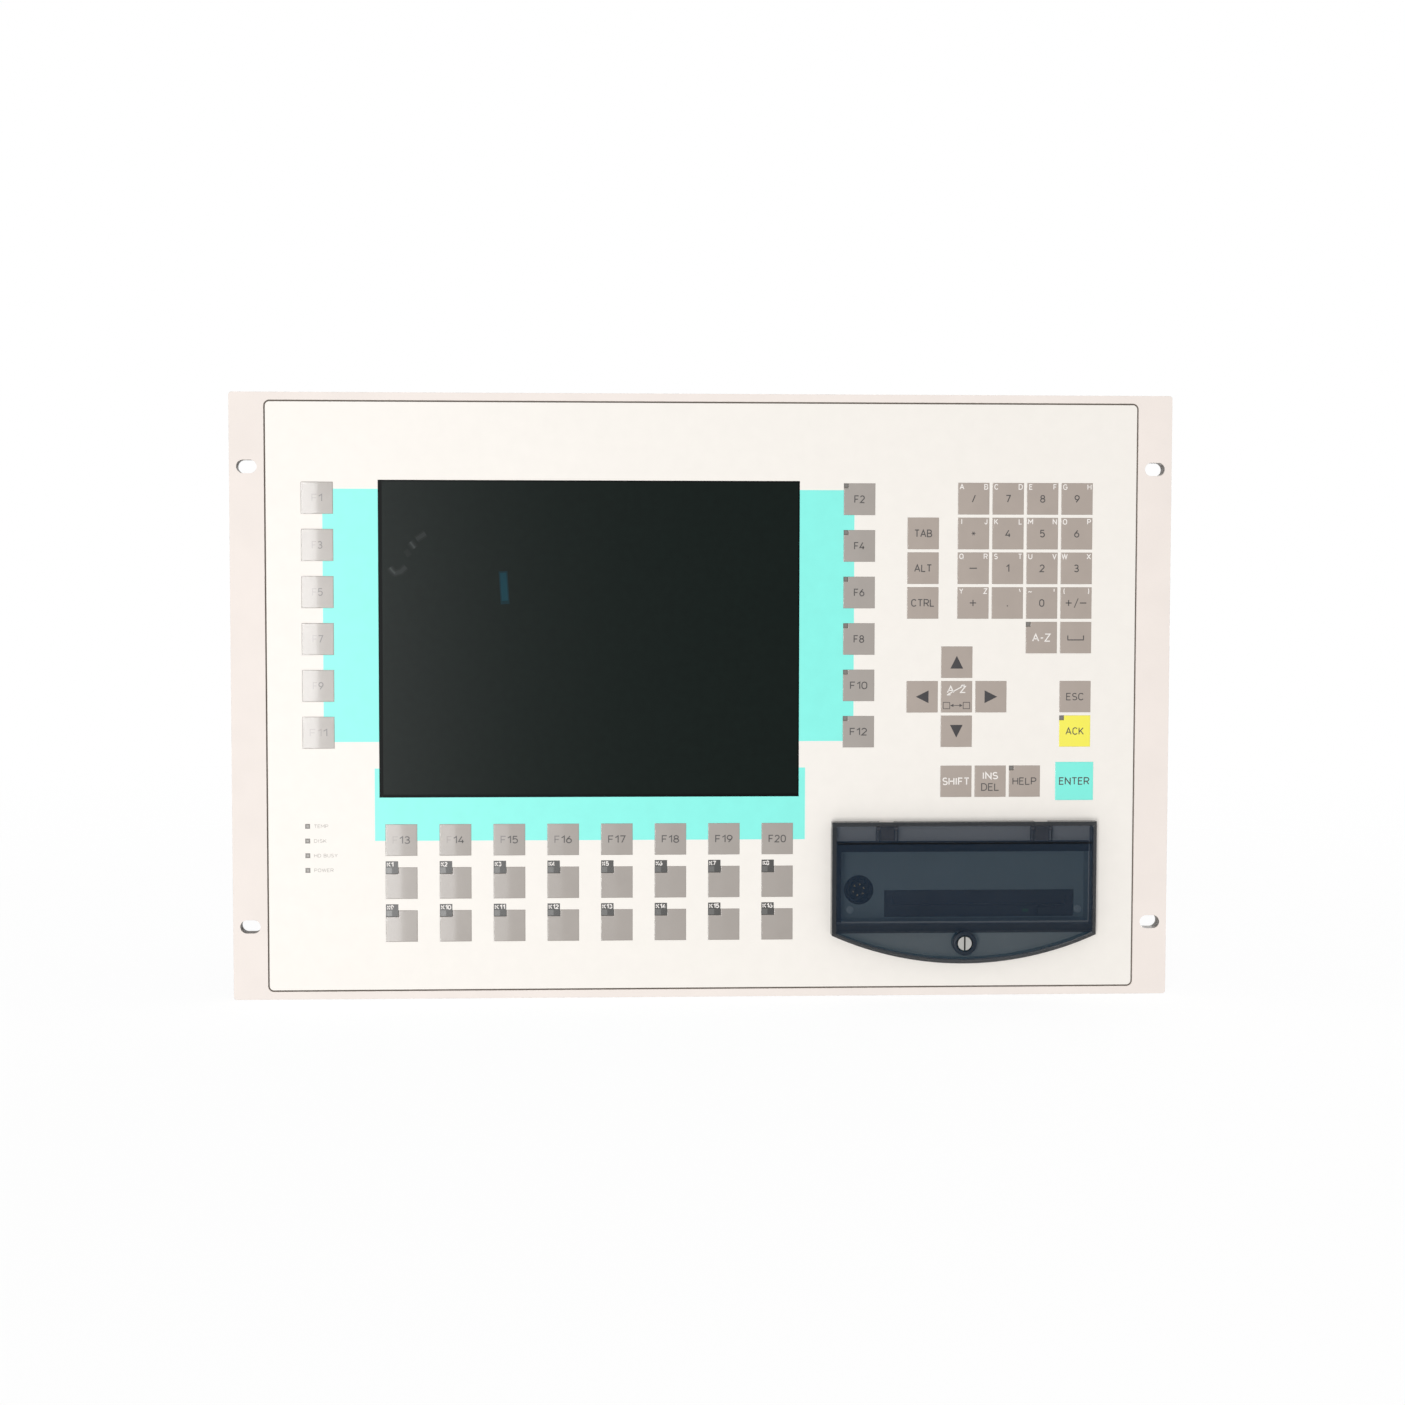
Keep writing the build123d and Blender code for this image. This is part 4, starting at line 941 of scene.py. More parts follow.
# Letters as pen strokes in a unit square, with the width as a share of the height.
# Two numbers are a point; six are an arc: centre, half sizes, first and last angle
ovalStroke = [(0.5, 0.66, 0.5, 0.34, 0, 180), (0.5, 0.34, 0.5, 0.34, 180, 360), (1, 0.66)]
bowStroke = [(0, 0), (0, 1), (0.55, 1), (0.6, 0.73, 0.4, 0.27, 90, -90), (0, 0.46)]
letterShapes = {
    "A": (0.72, [[(0, 0), (0.5, 1), (1, 0)], [(0.17, 0.33), (0.83, 0.33)]]),
    "B": (0.6, [[(0, 0.52), (0, 1), (0.5, 1), (0.56, 0.76, 0.36, 0.24, 90, -90), (0, 0.52)],
                [(0.5, 0.52), (0.58, 0.26, 0.42, 0.26, 90, -90), (0, 0), (0, 0.52)]]),
    "C": (0.62, [[(0.5, 0.66, 0.5, 0.34, 30, 180), (0.5, 0.34, 0.5, 0.34, 180, 330)]]),
    "D": (0.62, [[(0, 0), (0, 1), (0.4, 1), (0.45, 0.62, 0.55, 0.38, 90, 0),
                  (0.45, 0.38, 0.55, 0.38, 0, -90), (0, 0)]]),
    "E": (0.52, [[(1, 1), (0, 1), (0, 0), (1, 0)], [(0, 0.53), (0.85, 0.53)]]),
    "F": (0.5, [[(1, 1), (0, 1), (0, 0)], [(0, 0.5), (0.85, 0.5)]]),
    "G": (0.66, [[(0.5, 0.66, 0.5, 0.34, 30, 180), (0.5, 0.34, 0.5, 0.34, 180, 360), (1, 0.48),
                  (0.55, 0.48)]]),
    "H": (0.62, [[(0, 0), (0, 1)], [(1, 0), (1, 1)], [(0, 0.52), (1, 0.52)]]),
    "I": (0.12, [[(0.5, 0), (0.5, 1)]]),
    "J": (0.42, [[(1, 1), (0.5, 0.3, 0.5, 0.3, 0, -180)]]),
    "K": (0.6, [[(0, 0), (0, 1)], [(0, 0.36), (0.95, 1)], [(0.32, 0.56), (1, 0)]]),
    "L": (0.5, [[(0, 1), (0, 0), (1, 0)]]),
    "M": (0.76, [[(0, 0), (0, 1), (0.5, 0.35), (1, 1), (1, 0)]]),
    "N": (0.64, [[(0, 0), (0, 1), (1, 0), (1, 1)]]),
    "O": (0.64, [ovalStroke]),
    "P": (0.58, [bowStroke]),
    "Q": (0.64, [ovalStroke, [(0.6, 0.25), (1.05, -0.08)]]),
    "R": (0.6, [bowStroke, [(0.5, 0.46), (1, 0)]]),
    "S": (0.56, [[(0.5, 0.75, 0.46, 0.25, 35, 270), (0.5, 0.25, 0.5, 0.25, 90, -150)]]),
    "T": (0.6, [[(0, 1), (1, 1)], [(0.5, 1), (0.5, 0)]]),
    "U": (0.62, [[(0, 1), (0.5, 0.34, 0.5, 0.34, 180, 360), (1, 1)]]),
    "V": (0.66, [[(0, 1), (0.5, 0), (1, 1)]]),
    "W": (0.94, [[(0, 1), (0.25, 0), (0.5, 1), (0.75, 0), (1, 1)]]),
    "X": (0.64, [[(0, 0), (1, 1)], [(0, 1), (1, 0)]]),
    "Y": (0.62, [[(0, 1), (0.5, 0.46), (1, 1)], [(0.5, 0.46), (0.5, 0)]]),
    "Z": (0.6, [[(0, 1), (1, 1), (0, 0), (1, 0)]]),
    "0": (0.54, [ovalStroke]),
    "1": (0.3, [[(0, 0.74), (1, 1), (1, 0)]]),
    "2": (0.54, [[(0.5, 0.71, 0.47, 0.29, 165, -25), (0, 0), (1, 0)]]),
    "3": (0.54, [[(0.46, 0.76, 0.44, 0.24, 150, -90), (0.48, 0.26, 0.5, 0.26, 90, -150)]]),
    "4": (0.58, [[(0.66, 1), (0, 0.25), (1, 0.25)], [(0.76, 0.52), (0.76, 0)]]),
    "5": (0.54, [[(0.92, 1), (0.14, 1), (0.08, 0.56), (0.48, 0.32, 0.5, 0.32, 118, -150)]]),
    "6": (0.54, [[(0.72, 1), (0.12, 0.52), (0.5, 0.31, 0.5, 0.31, 150, 510)]]),
    "7": (0.52, [[(0, 1), (1, 1), (0.32, 0)]]),
    "8": (0.54, [[(0.5, 0.76, 0.43, 0.24, -90, 270)], [(0.5, 0.26, 0.5, 0.26, 90, 450)]]),
    "9": (0.54, [[(0.28, 0), (0.88, 0.48), (0.5, 0.69, 0.5, 0.31, -30, 330)]]),
    "-": (0.3, [[(0, 0.45), (1, 0.45)]]),
    "\\": (0.26, [[(0, 1), (1, 0.36)]]),
    "'": (0.1, [[(0.5, 1), (0.5, 0.4)]]),
    "~": (0.66, [[(0, 0.3), (0.3, 0.42), (0.7, 0.3), (1, 0.42)]]),
    "(": (0.2, [[(1, 0.5, 1, 0.6, 110, 250)]]),
    ")": (0.2, [[(0, 0.5, 1, 0.6, 70, -70)]]),
    " ": (0.25, []),
}


def strokePoints(stroke):
    points = []
    for item in stroke:
        if len(item) == 2:
            points.append(item)
            continue
        cx, cz, rx, rz, first, last = item
        steps = max(round(abs(last - first) / legendValues["arcStep"]), 2)
        for step in range(steps + 1):
            turn = math.radians(first + (last - first) * step / steps)
            points.append((cx + rx * math.cos(turn), cz + rz * math.sin(turn)))
    return points


class Print:
    # collects flat shapes that lie on one surface
    def __init__(self):
        self.points = []
        self.faces = []
        self.slots = []

    def addFlat(self, points, faces, slot):
        first = len(self.points)
        self.points += points
        self.faces += [tuple(index + first for index in face) for face in faces]
        self.slots += [slot] * len(faces)

    def pen(self, path, width, slot=0):
        # a line of one width with mitred corners, cut finely enough to follow a curved pad
        fine = [path[0]]
        for start, end in zip(path, path[1:]):
            steps = max(math.ceil(math.dist(start, end) / legendValues["fineStep"]), 1)
            dx, dz = end[0] - start[0], end[1] - start[1]
            fine += [(start[0] + dx * s / steps, start[1] + dz * s / steps) for s in range(1, steps + 1)]
        fine = [fine[0]] + [p for q, p in zip(fine, fine[1:]) if math.dist(p, q) > 0.01]
        closed = math.dist(fine[0], fine[-1]) < 0.02 and len(fine) > 3
        ways = [Vector((b[0] - a[0], b[1] - a[1])).normalized() for a, b in zip(fine, fine[1:])]
        points = []
        for index, (x, z) in enumerate(fine):
            before = ways[index - 1] if index or closed else ways[0]
            after = ways[index % len(ways)] if index < len(ways) or closed else ways[-1]
            middle = before + after
            middle = middle.normalized() if middle.length > 0.1 else after
            reach = width / 2 / max(middle.dot(after), legendValues["mitreLimit"])
            dx, dz = middle.y * reach, middle.x * reach
            points += [(x + dx, z - dz), (x - dx, z + dz)]
        faces = [(2 * s, 2 * s + 2, 2 * s + 3, 2 * s + 1) for s in range(len(fine) - 1)]
        self.addFlat(points, faces, slot)

    def word(self, word, x, z, height, slot=0, pen=0.45, width=None, lead=(0, 0)):
        # lead is a number of first letters and their own slot
        shapes = [letterShapes[letter] for letter in word]
        tall = height - pen
        gap = legendValues["letterGap"] * height
        natural = sum(share * height for share, strokes in shapes) + gap * (len(word) - 1)
        squeeze = (width - pen) / natural if width else 1
        left = x - natural * squeeze / 2
        for index, (share, strokes) in enumerate(shapes):
            across = share * height * squeeze
            for stroke in strokes:
                path = [(left + u * across, z - tall / 2 + v * tall) for u, v in strokePoints(stroke)]
                self.pen(path, pen, lead[1] if index < lead[0] else slot)
            left += across + gap * squeeze

    def bar(self, x0, z0, x1, z1, width, slot=0):
        self.pen([(x0, z0), (x1, z1)], width, slot)

    def square(self, x, z, size, slot=0):
        self.bar(x - size / 2, z, x + size / 2, z, size, slot)

    def triangle(self, x, z, size, turn, slot=0):
        # a solid arrow head, divided finely enough to follow the pad
        rows = legendValues["arrowRows"]
        points = []
        faces = []
        cos, sin = math.cos(math.radians(turn)), math.sin(math.radians(turn))
        for row in range(rows + 1):
            up = (0.5 - row / rows) * size
            for step in range(row + 1):
                across = (step - row / 2) / rows * size
                points.append((x + across * cos - up * sin, z + across * sin + up * cos))
        for row in range(rows):
            first = row * (row + 1) // 2
            below = (row + 1) * (row + 2) // 2
            for step in range(row + 1):
                faces.append((first + step, below + step, below + step + 1))
                if step < row:
                    faces.append((first + step, below + step + 1, first + step + 1))
        self.addFlat(points, faces, slot)

    def finish(self, name, body, slot, names, rise):
        solid = [(x, rise(x, z), z) for x, z in self.points]
        mesh = meshFrom(name, solid, self.faces, self.slots)
        for face in mesh.polygons:
            if face.normal.y > 0:
                face.flip()
        return newPiece(name, mesh, body, names)


# Words: text, place from the key's middle, width and height in millimetres, ink and pen
keyWords = {
    "key_esc": [("ESC", 0, 0, 9.3, 3.9, 0, 0.5)],
    "key_ack": [("ACK", 0, 0, 9.6, 3.9, 0, 0.5)],
    "key_help": [("HELP", 0, 0, 12.5, 3.9, 0, 0.52)],
    "key_enter": [("ENTER", 0, 0, 15.9, 4.0, 0, 0.58)],
    "key_shift": [("SHIFT", 0, 0, 14.2, 4.0, 1, 0.62)],
    "key_ins_del": [("INS", 0, 2.9, 8.3, 3.8, 1, 0.62), ("DEL", 0, -3.0, 9.4, 4.0, 0, 0.52)],
    "key_letters": [("A-Z", 0, 0, 9.6, 4.2, 1, 0.56)],
    "key_centre": [("A", -3.1, 3.8, 3.8, 3.8, 1, 0.55), ("Z", 3.3, 3.8, 3.1, 3.7, 1, 0.55)],
}
cornerPairs = {
    "key_slash": "AB", "key_7": "CD", "key_8": "EF", "key_9": "GH", "key_star": "IJ", "key_4": "KL",
    "key_5": "MN", "key_6": "OP", "key_minus": "QR", "key_1": "ST", "key_2": "UV", "key_3": "WX",
    "key_plus": "YZ", "key_point": " \\", "key_0": "~'", "key_plus_minus": "()",
}
columnWords = {
    "keys_left_column": ["F1", "F3", "F5", "F7", "F9", "F11"],
    "keys_right_column": ["F2", "F4", "F6", "F8", "F10", "F12"],
    "keys_tab_alt_ctrl": ["TAB", "ALT", "CTRL"],
    "keys_lower_row": ["F13", "F14", "F15", "F16", "F17", "F18", "F19", "F20"],
}
columnWidths = {2: 5.5, 3: 9.0, 4: 12.1}
ownWidths = {"TAB": 9.2, "ALT": 9.2}
# Painted highlight: the left column's legends and the first letters of F13 to F16 take paler inks where the
# soft box's glare falls, palest at the left
glareWords = {  # ink, number of paler first letters and their ink
    "F1": (3, (1, 4)), "F3": (3, (1, 4)), "F5": (3, (1, 4)), "F7": (3, (1, 4)), "F9": (3, (1, 4)),
    "F11": (3, (2, 4)), "F13": (0, (1, 4)), "F14": (0, (1, 4)), "F15": (0, (1, 3)), "F16": (0, (1, 3)),
}
# Signs as bars: both ends from the key's middle, pen and ink
starTurns = [math.radians(turn) for turn in (0, 60, 120)]
signBars = {
    "key_slash": [(-0.75, -1.8, 0.75, 1.8, 0.56, 0)],
    "key_star": [(-1.05 * math.cos(t), -1.05 * math.sin(t), 1.05 * math.cos(t), 1.05 * math.sin(t), 0.38, 0)
                 for t in starTurns],
    "key_minus": [(-1.95, 0, 1.95, 0, 0.56, 0)],
    "key_plus": [(-1.65, 0, 1.65, 0, 0.56, 0), (0, -1.6, 0, 1.6, 0.56, 0)],
    "key_point": [(-0.3, -1.5, 0.3, -1.5, 0.6, 0)],
    "key_plus_minus": [(-5.4, 0, -2.3, 0, 0.56, 0), (-3.85, -1.55, -3.85, 1.55, 0.56, 0),
                       (-0.9, -2.4, 1.1, 2.4, 0.448, 0), (2.0, 0, 5.4, 0, 0.56, 0)],
    "key_space": [(-4.3, -1.2, 4.3, -1.2, 0.56, 0), (-4.1, -1.0, -4.1, 1.1, 0.56, 0),
                  (4.1, -1.0, 4.1, 1.1, 0.56, 0)],
    "key_centre": [(-5.1, 0.9, 4.4, 6.1, 0.5, 1), (4.4, 6.1, 2.4, 5.9, 0.5, 1),
                   (-5.1, 0.9, -3.1, 1.1, 0.5, 1), (-2.6, -4.5, 2.6, -4.5, 0.34, 0)],
}
for left, right in ((-6.9, -3.5), (3.5, 6.9)):
    signBars["key_centre"] += [
        (left, -6.2, right, -6.2, 0.34, 0), (left, -2.9, right, -2.9, 0.34, 0),
        (left, -6.2, left, -2.9, 0.34, 0), (right, -6.2, right, -2.9, 0.34, 0)]
# Arrow heads: place from the key's middle, size, turn and ink
signArrows = {
    "key_up": [(0, 0, 6.6, 0, 2)], "key_left": [(0, 0, 6.6, 90, 2)],
    "key_down": [(0, 0, 6.6, 180, 2)], "key_right": [(0, 0, 6.6, 270, 2)],
    "key_centre": [(-2.4, -4.5, 1.7, 90, 0), (2.4, -4.5, 1.7, 270, 0)],
}
keyInks = ["inkDark", "inkWhite", "inkArrow", "inkSoftGlare", "inkGlare"]


def printCorners(flat, letters, box):
    # small letters in a key's two upper corners
    x, z = middleOf(box)
    small = legendValues["cornerHeight"]
    pen = legendValues["cornerPen"]
    half = (box[1][0] - box[0][0]) / 2
    line = z + half - legendValues["cornerTop"] - small / 2
    for letter, side, inset in zip(letters, (-1, 1), legendValues["cornerInsets"]):
        width = letterShapes[letter][0] * small * legendValues["cornerStretch"] + pen * 0.6
        flat.word(letter, x + side * (half - inset), line, small, 1, pen, width)


def printKey(name):
    flat = Print()
    boxes = keyBoxes[name]
    x, z = middleOf(boxes[0])
    cap, pen = legendValues["capHeight"], legendValues["pen"]
    digit = name.removeprefix("key_")
    if digit.isdigit():
        flat.word(digit, x, z, cap, 0, pen)
    for word, dx, dz, width, height, ink, wordPen in keyWords.get(name, []):
        flat.word(word, x + dx, z + dz, height, ink, wordPen, width)
    if name in cornerPairs:
        printCorners(flat, cornerPairs[name], boxes[0])
    for x0, z0, x1, z1, width, ink in signBars.get(name, []):
        flat.bar(x + x0, z + z0, x + x1, z + z1, width, ink)
    for dx, dz, size, turn, ink in signArrows.get(name, []):
        flat.triangle(x + dx, z + dz, size, turn, ink)
    across = name == "keys_lower_row"
    ordered = sorted(boxes, key=lambda box: box[0][0] if across else -box[0][2])
    for box, word in zip(ordered, columnWords.get(name, [])):
        kx, kz = middleOf(box)
        ink, lead = glareWords.get(word, (0, (0, 0)))
        flat.word(word, kx, kz, cap, ink, pen, ownWidths.get(word, columnWidths[len(word)]), lead)
    if not flat.points:
        return

    def rise(px, pz):
        for box in boxes:
            if box[0][0] <= px <= box[1][0] and box[0][2] <= pz <= box[1][2]:
                return filmFront - crownRise(px, pz, box) - legendValues["lift"]
        return filmFront - legendValues["lift"]

    flat.finish("legend_" + name, name, "key_grey", keyInks, rise)


for name in keyNodes:
    printKey(name)

# Numbers on the dark tags
tagValues = {"left": 0.6, "drop": 0.5, "height": 2.4, "pen": 0.5, "widths": (3.4, 5.2), "lift": 0.015}
tagPrint = Print()
for count, box in enumerate(tagBoxes, 1):
    word = "K" + str(count)
    width = tagValues["widths"][len(word) - 2]
    x = box[0][0] + tagValues["left"] + width / 2
    z = box[1][2] - tagValues["drop"] - tagValues["height"] / 2
    tagPrint.word(word, x, z, tagValues["height"], 0, tagValues["pen"], width)
tagPrint.finish("tag_numbers", "panel", "dark_window", ["inkWhite"],
                lambda x, z: filmFront - tagValues["lift"])

# Words beside the status lamps
statusValues = {"words": (("TEMP", 7.3), ("DISK", 6.4), ("HD BUSY", 12.0), ("POWER", 9.9)),
                "gap": 3.2, "height": 1.9, "pen": 0.28, "lift": 0.012}
statusPrint = Print()
for box, (word, width) in zip(statusBoxes, statusValues["words"]):
    x, z = middleOf(box)
    left = x + statusValues["gap"]
    statusPrint.word(word, left + width / 2, z, statusValues["height"], 0, statusValues["pen"], width)
statusPrint.finish("status_words", "panel", "overlay", ["inkFaint"],
                   lambda x, z: filmFront - statusValues["lift"])
print("legends ready")

# Lamps behind the dark windows: a paler square in each tag and a spot in each lamp window
lampValues = {"tagLamp": 2.9, "tagInset": (0.25, 0.2), "spot": 1.2, "lift": 0.012}


def makeLamps():
    lamps = Print()
    half = lampValues["tagLamp"] / 2
    across, up = lampValues["tagInset"]
    for box in tagBoxes:
        lamps.square(box[0][0] + across + half, box[0][2] + up + half, lampValues["tagLamp"], 1)
    for boxes, slot in ((lampBoxes, 0), (statusBoxes, 2)):
        for box in boxes:
            lamps.square(*middleOf(box), lampValues["spot"], slot)
    lamps.finish("lamps", "panel", "dark_window", ["lampPale", "tagPale", "statusPale"],
                 lambda x, z: filmFront - lampValues["lift"])


makeLamps()

# Screen: one dark pane with a near-black border of painted shade at its edges, wider at the left and bottom
screenValues = {"left": 2.0, "right": 0.8, "top": 0.8, "bottom": 1.5, "edgeRound": 0.18, "skin": 0.1}


def makeScreen():
    low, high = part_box("screen_pane")
    left, front, bottom = (part / mm for part in low)
    right, back, top = (part / mm for part in high)
    xs = [left, left + screenValues["left"], right - screenValues["right"], right]
    zs = [bottom, bottom + screenValues["bottom"], top - screenValues["top"], top]

    def glassOrBorder(middle):
        inside = xs[1] < middle.x < xs[2] and zs[1] < middle.z < zs[2]
        return 1 if inside and middle.y < front + screenValues["skin"] else 0

    face = steppedFace(xs, zs, lambda x, z: front, back)
    pane = joinedPiece("screen", [face], "panel", ["screenEdgeShade", "screenDark"])
    weld(pane.data, glassOrBorder)
    softenEdges(pane, screenValues["edgeRound"], 60)
    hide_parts("screen_pane")


makeScreen()

# Wipe marks on the screen's glass, in thin layers from the faint outside to the bright middle
smudgeValues = {
    "lift": 0.01,
    "layerStep": 0.0001,
    "hook": [(-160.5, 66.4), (-159.2, 64.6), (-157.8, 63.4), (-154.8, 64.4), (-152.3, 66.8)],
    "smears": [[(-150.2, 79.4), (-148.9, 77.8), (-147.8, 76.3)], [(-147.0, 80.7), (-142.4, 83.8)],
               [(-152.6, 73.0), (-150.4, 74.6)]],
    "faintWidth": 3.6, "softWidth": 2.0, "brightWidth": 0.8,
    "streak": [(-103.0, 63.8), (-102.1, 49.6)],
    "streakEnds": [(-103.05, 64.6), (-102.0, 47.8)],
    "streakWidth": 4.5, "streakCore": 3.2,
}


def makeSmudges():
    marks = Print()
    hook, smears = smudgeValues["hook"], smudgeValues["smears"]
    for path in [hook] + smears:
        marks.pen(path, smudgeValues["faintWidth"])
    for path in [hook] + smears[:2]:
        marks.pen(path, smudgeValues["softWidth"], 1)
    for path in (hook[:3], smears[0]):
        marks.pen(path, smudgeValues["brightWidth"], 2)
    marks.pen(smudgeValues["streakEnds"], smudgeValues["streakWidth"], 3)
    marks.pen(smudgeValues["streak"], smudgeValues["streakCore"], 4)
    placed = [0]

    def lift(x, z):
        placed[0] += 1
        return filmFront - smudgeValues["lift"] - placed[0] * smudgeValues["layerStep"]

    layers = ["smudgeFaint", "smudgeSoft", "smudgeBright", "streakSoft", "streakCore"]
    marks.finish("wipe_marks", "panel", "screen_glass", layers, lift)


makeSmudges()
print("screen ready")

# Flap: a bush round the captive screw, a near-black strip in its groove and dark blocks behind it, the strip
# and the blocks painted shade
flapValues = {
    "bushOuter": 6.15, "bushInner": 4.2, "bushBack": 3.2, "bushMouth": 2.4, "bushFront": 0.02,
    "innerSoft": 0.25, "outerSoft": (0.35, 0.3), "bushSides": 48,
    "grooveDrop": 10.8, "grooveInset": 2.65, "grooveNear": 0.62, "grooveFar": 1.28, "grooveHalf": 0.42,
    "seal": 0.7, "sealPast": 0.2, "sealInset": 2.6, "sealTrayInset": 2.0, "sealSide": 2.8,
    "sealEnd": -116.8, "sealSplit": 0.01, "sealLow": -80.2, "sealHigh": -74.7,
}


def bushMesh(x, z, front):
    inner, outer = flapValues["bushInner"], flapValues["bushOuter"]
    near, back = front + flapValues["bushFront"], front + flapValues["bushBack"]
    soft = flapValues["innerSoft"]
    softRadius, softDepth = flapValues["outerSoft"]
    profile = [(inner, front + flapValues["bushMouth"]), (inner, front + soft), (inner + soft, near),
               (outer - softRadius, near), (outer, front + softDepth), (outer, back), (inner, back)]
    count = flapValues["bushSides"]
    points = []
    for radius, y in profile:
        points += [(x + radius * math.cos(a), y, z + radius * math.sin(a)) for a in ringAngles(count)]
    rings = len(profile)
    return meshFrom("bush", points, stitched(count, [(ring, (ring + 1) % rings) for ring in range(rings)]))


def makeFlapDetails():
    low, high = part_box("flap")
    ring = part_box("screw_ring")
    x = (ring[0][0] + ring[1][0]) / 2 / mm
    z = (ring[0][2] + ring[1][2]) / 2 / mm
    left, right, front = low[0] / mm, high[0] / mm, low[1] / mm
    joinedPiece("lock_bush", [bushMesh(x, z, front)], "flap", ["bushDark"], smooth=40)
    # A near-black strip inside the flap's groove: painted shade in the groove
    inset, half = flapValues["grooveInset"], flapValues["grooveHalf"]
    near, far = front + flapValues["grooveNear"], front + flapValues["grooveFar"]
    grooveZ = high[2] / mm - flapValues["grooveDrop"]
    strip = blockMesh(left + inset, right - inset, near, far, grooveZ - half, grooveZ + half)
    joinedPiece("groove_shade_strip", [strip], "flap", ["grooveShade"])
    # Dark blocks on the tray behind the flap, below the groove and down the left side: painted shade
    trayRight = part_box("compartment_tray")[1][0] / mm - flapValues["sealTrayInset"]
    back = high[1] / mm + flapValues["sealPast"]
    near = back - flapValues["seal"]
    side = left + flapValues["sealInset"]
    sealLow = flapValues["sealLow"]
    seal = [blockMesh(side, trayRight, near, back, sealLow, flapValues["sealHigh"]),
            blockMesh(side, side + flapValues["sealSide"], near, back, flapValues["sealEnd"],
                      sealLow - flapValues["sealSplit"])]
    joinedPiece("flap_seal", seal, "panel", ["sealFoam"])


makeFlapDetails()
print("flap ready")

# Screws with cross recesses in place of the plain ones
screwValues = {
    "head": 3.6, "height": 2.4, "arm": 1.9, "half": 0.42, "recess": 1.2,
    "crown": ((1, 0), (1, 0.45), (0.93, 0.72), (0.78, 0.9), (0.62, 1)), "neck": 0.3,
    "tight": (0.72, 0.7),
    "small": 5, "smallHead": 2.1, "smallHeight": 0.9, "smallSeat": 2.0,
    "shank": 2.0, "shankTip": 1.7, "shankLength": 5.0, "tipLength": 0.3,
    "dullArea": (71, 203, -116, -106), "dullFront": 10,
}


def crossReach(arm, half):
    # how far a cross recess reaches from its middle at an angle
    def reach(angle):
        turn = angle % (math.pi / 2)
        if turn > math.pi / 4:
            turn = math.pi / 2 - turn
        if math.tan(turn) <= half / arm:
            return arm / math.cos(turn)
        return half / math.sin(turn)
    return reach


def screwHead(x, z, seat, side, head, height):
    # side 1 points its head to the rear, -1 to the front
    arm = screwValues["arm"] * head / screwValues["head"]
    half = screwValues["half"] * head / screwValues["head"]
    corner = math.atan(half / arm)
    between = (corner + math.pi / 4) / 2
    rising = [0, corner / 2, corner, between, math.pi / 4]
    falling = [math.pi / 2 - turn for turn in (between, corner, corner / 2)]
    angles = [quarter * math.pi / 2 + turn for quarter in range(4) for turn in rising + falling]
    cross = crossReach(arm, half)
    armShare, halfShare = screwValues["tight"]
    tight = crossReach(arm * armShare, half * halfShare)
    top = seat + side * height
    recess = side * screwValues["recess"]
    profile = [(head * share, seat + side * height * rise) for share, rise in screwValues["crown"]]
    profile += [(0, top, cross), (0, top - recess * screwValues["neck"], cross), (0, top - recess, tight)]
    return lathe("screw", x, z, profile, angles)


def makeScrews():
    heads = []
    for low, high in solidBoxes("screws"):
        x, z = middleOf((low, high))
        if high[0] - low[0] < screwValues["small"]:
            seat = high[1] - screwValues["smallSeat"]
            heads.append(screwHead(x, z, seat, -1, screwValues["smallHead"], screwValues["smallHeight"]))
            continue
        seat = high[1] - screwValues["height"]
        heads.append(screwHead(x, z, seat, 1, screwValues["head"], screwValues["height"]))
        radius, end = screwValues["shank"], seat - screwValues["shankLength"]
        shank = [(screwValues["shankTip"], end), (radius, end + screwValues["tipLength"]), (radius, seat)]
        heads.append(lathe("shank", x, z, shank, ringAngles(20)))
    piece = joinedPiece("screw_set", heads, "panel", ["screwSteel", "screwDull"], smooth=35)
    left, right, bottom, top = screwValues["dullArea"]
    for face in piece.data.polygons:
        middle = face.center / mm
        if middle.y < screwValues["dullFront"] and left < middle.x < right and bottom < middle.z < top:
            face.material_index = 1
    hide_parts("screws")


makeScrews()

# Ports on the rear, each with its middle, its width and the contacts in its longer row
portValues = {
    "z": -50.0, "back": 145.1, "base": 137.6, "height": 8.6, "wall": 0.5, "slant": 0.18,
    "corner": 2.0, "leastCorner": 0.8,
    "ports": [(-164.65, 17.0, 5), (-121.65, 17.0, 5), (-74.5, 25.3, 8), (-16.35, 39.0, 13)],
    "socketPort": 1,
    "floor": 1.2, "flange": (7, 1.9, 1.0), "insertGap": 0.02, "socketGap": 0.5,
    "insertFront": 1.6, "socketFront": 0.9,
    "pitch": 2.76, "line": 1.42,
    "pin": ((0.5, None), (0.5, -1.6), (0.2, -1.0)),
    "hole": ((0.75, 0), (0.75, 0.06), (0.45, 0.06), (0.4, 0.01)),
    "postReach": 4.0,
    "post": ((2.7, None), (2.7, -1.4), (2.4, -1.1)),
    "thread": ((1.5, -1.1), (1.5, -1.08), (1.1, -1.08), (1.0, -3.5)),
}


def portOutline(x, z, width, inset):
    height = portValues["height"]
    half = width / 2 - inset
    up = height / 2 - inset
    lean = portValues["slant"] * height / 2
    corners = [(-half, up), (half, up), (half - 2 * lean, -up), (-half + 2 * lean, -up)]
    radius = max(portValues["corner"] - inset, portValues["leastCorner"])
    outline = []
    for index, corner in enumerate(corners):
        corner = Vector(corner)
        before = (Vector(corners[index - 1]) - corner).normalized()
        after = (Vector(corners[(index + 1) % 4]) - corner).normalized()
        start = corner + before * radius
        end = corner + after * radius
        for t in (0, 0.25, 0.5, 0.75, 1):
            point = start * (1 - t) ** 2 + corner * 2 * t * (1 - t) + end * t ** 2
            outline.append((x + point.x, z + point.y))
    return outline


def fromRear(steps, start, rear):
    # profile steps measured from the rear face; the first may start at a place of its own
    return [(radius, start if y is None else rear + y) for radius, y in steps]


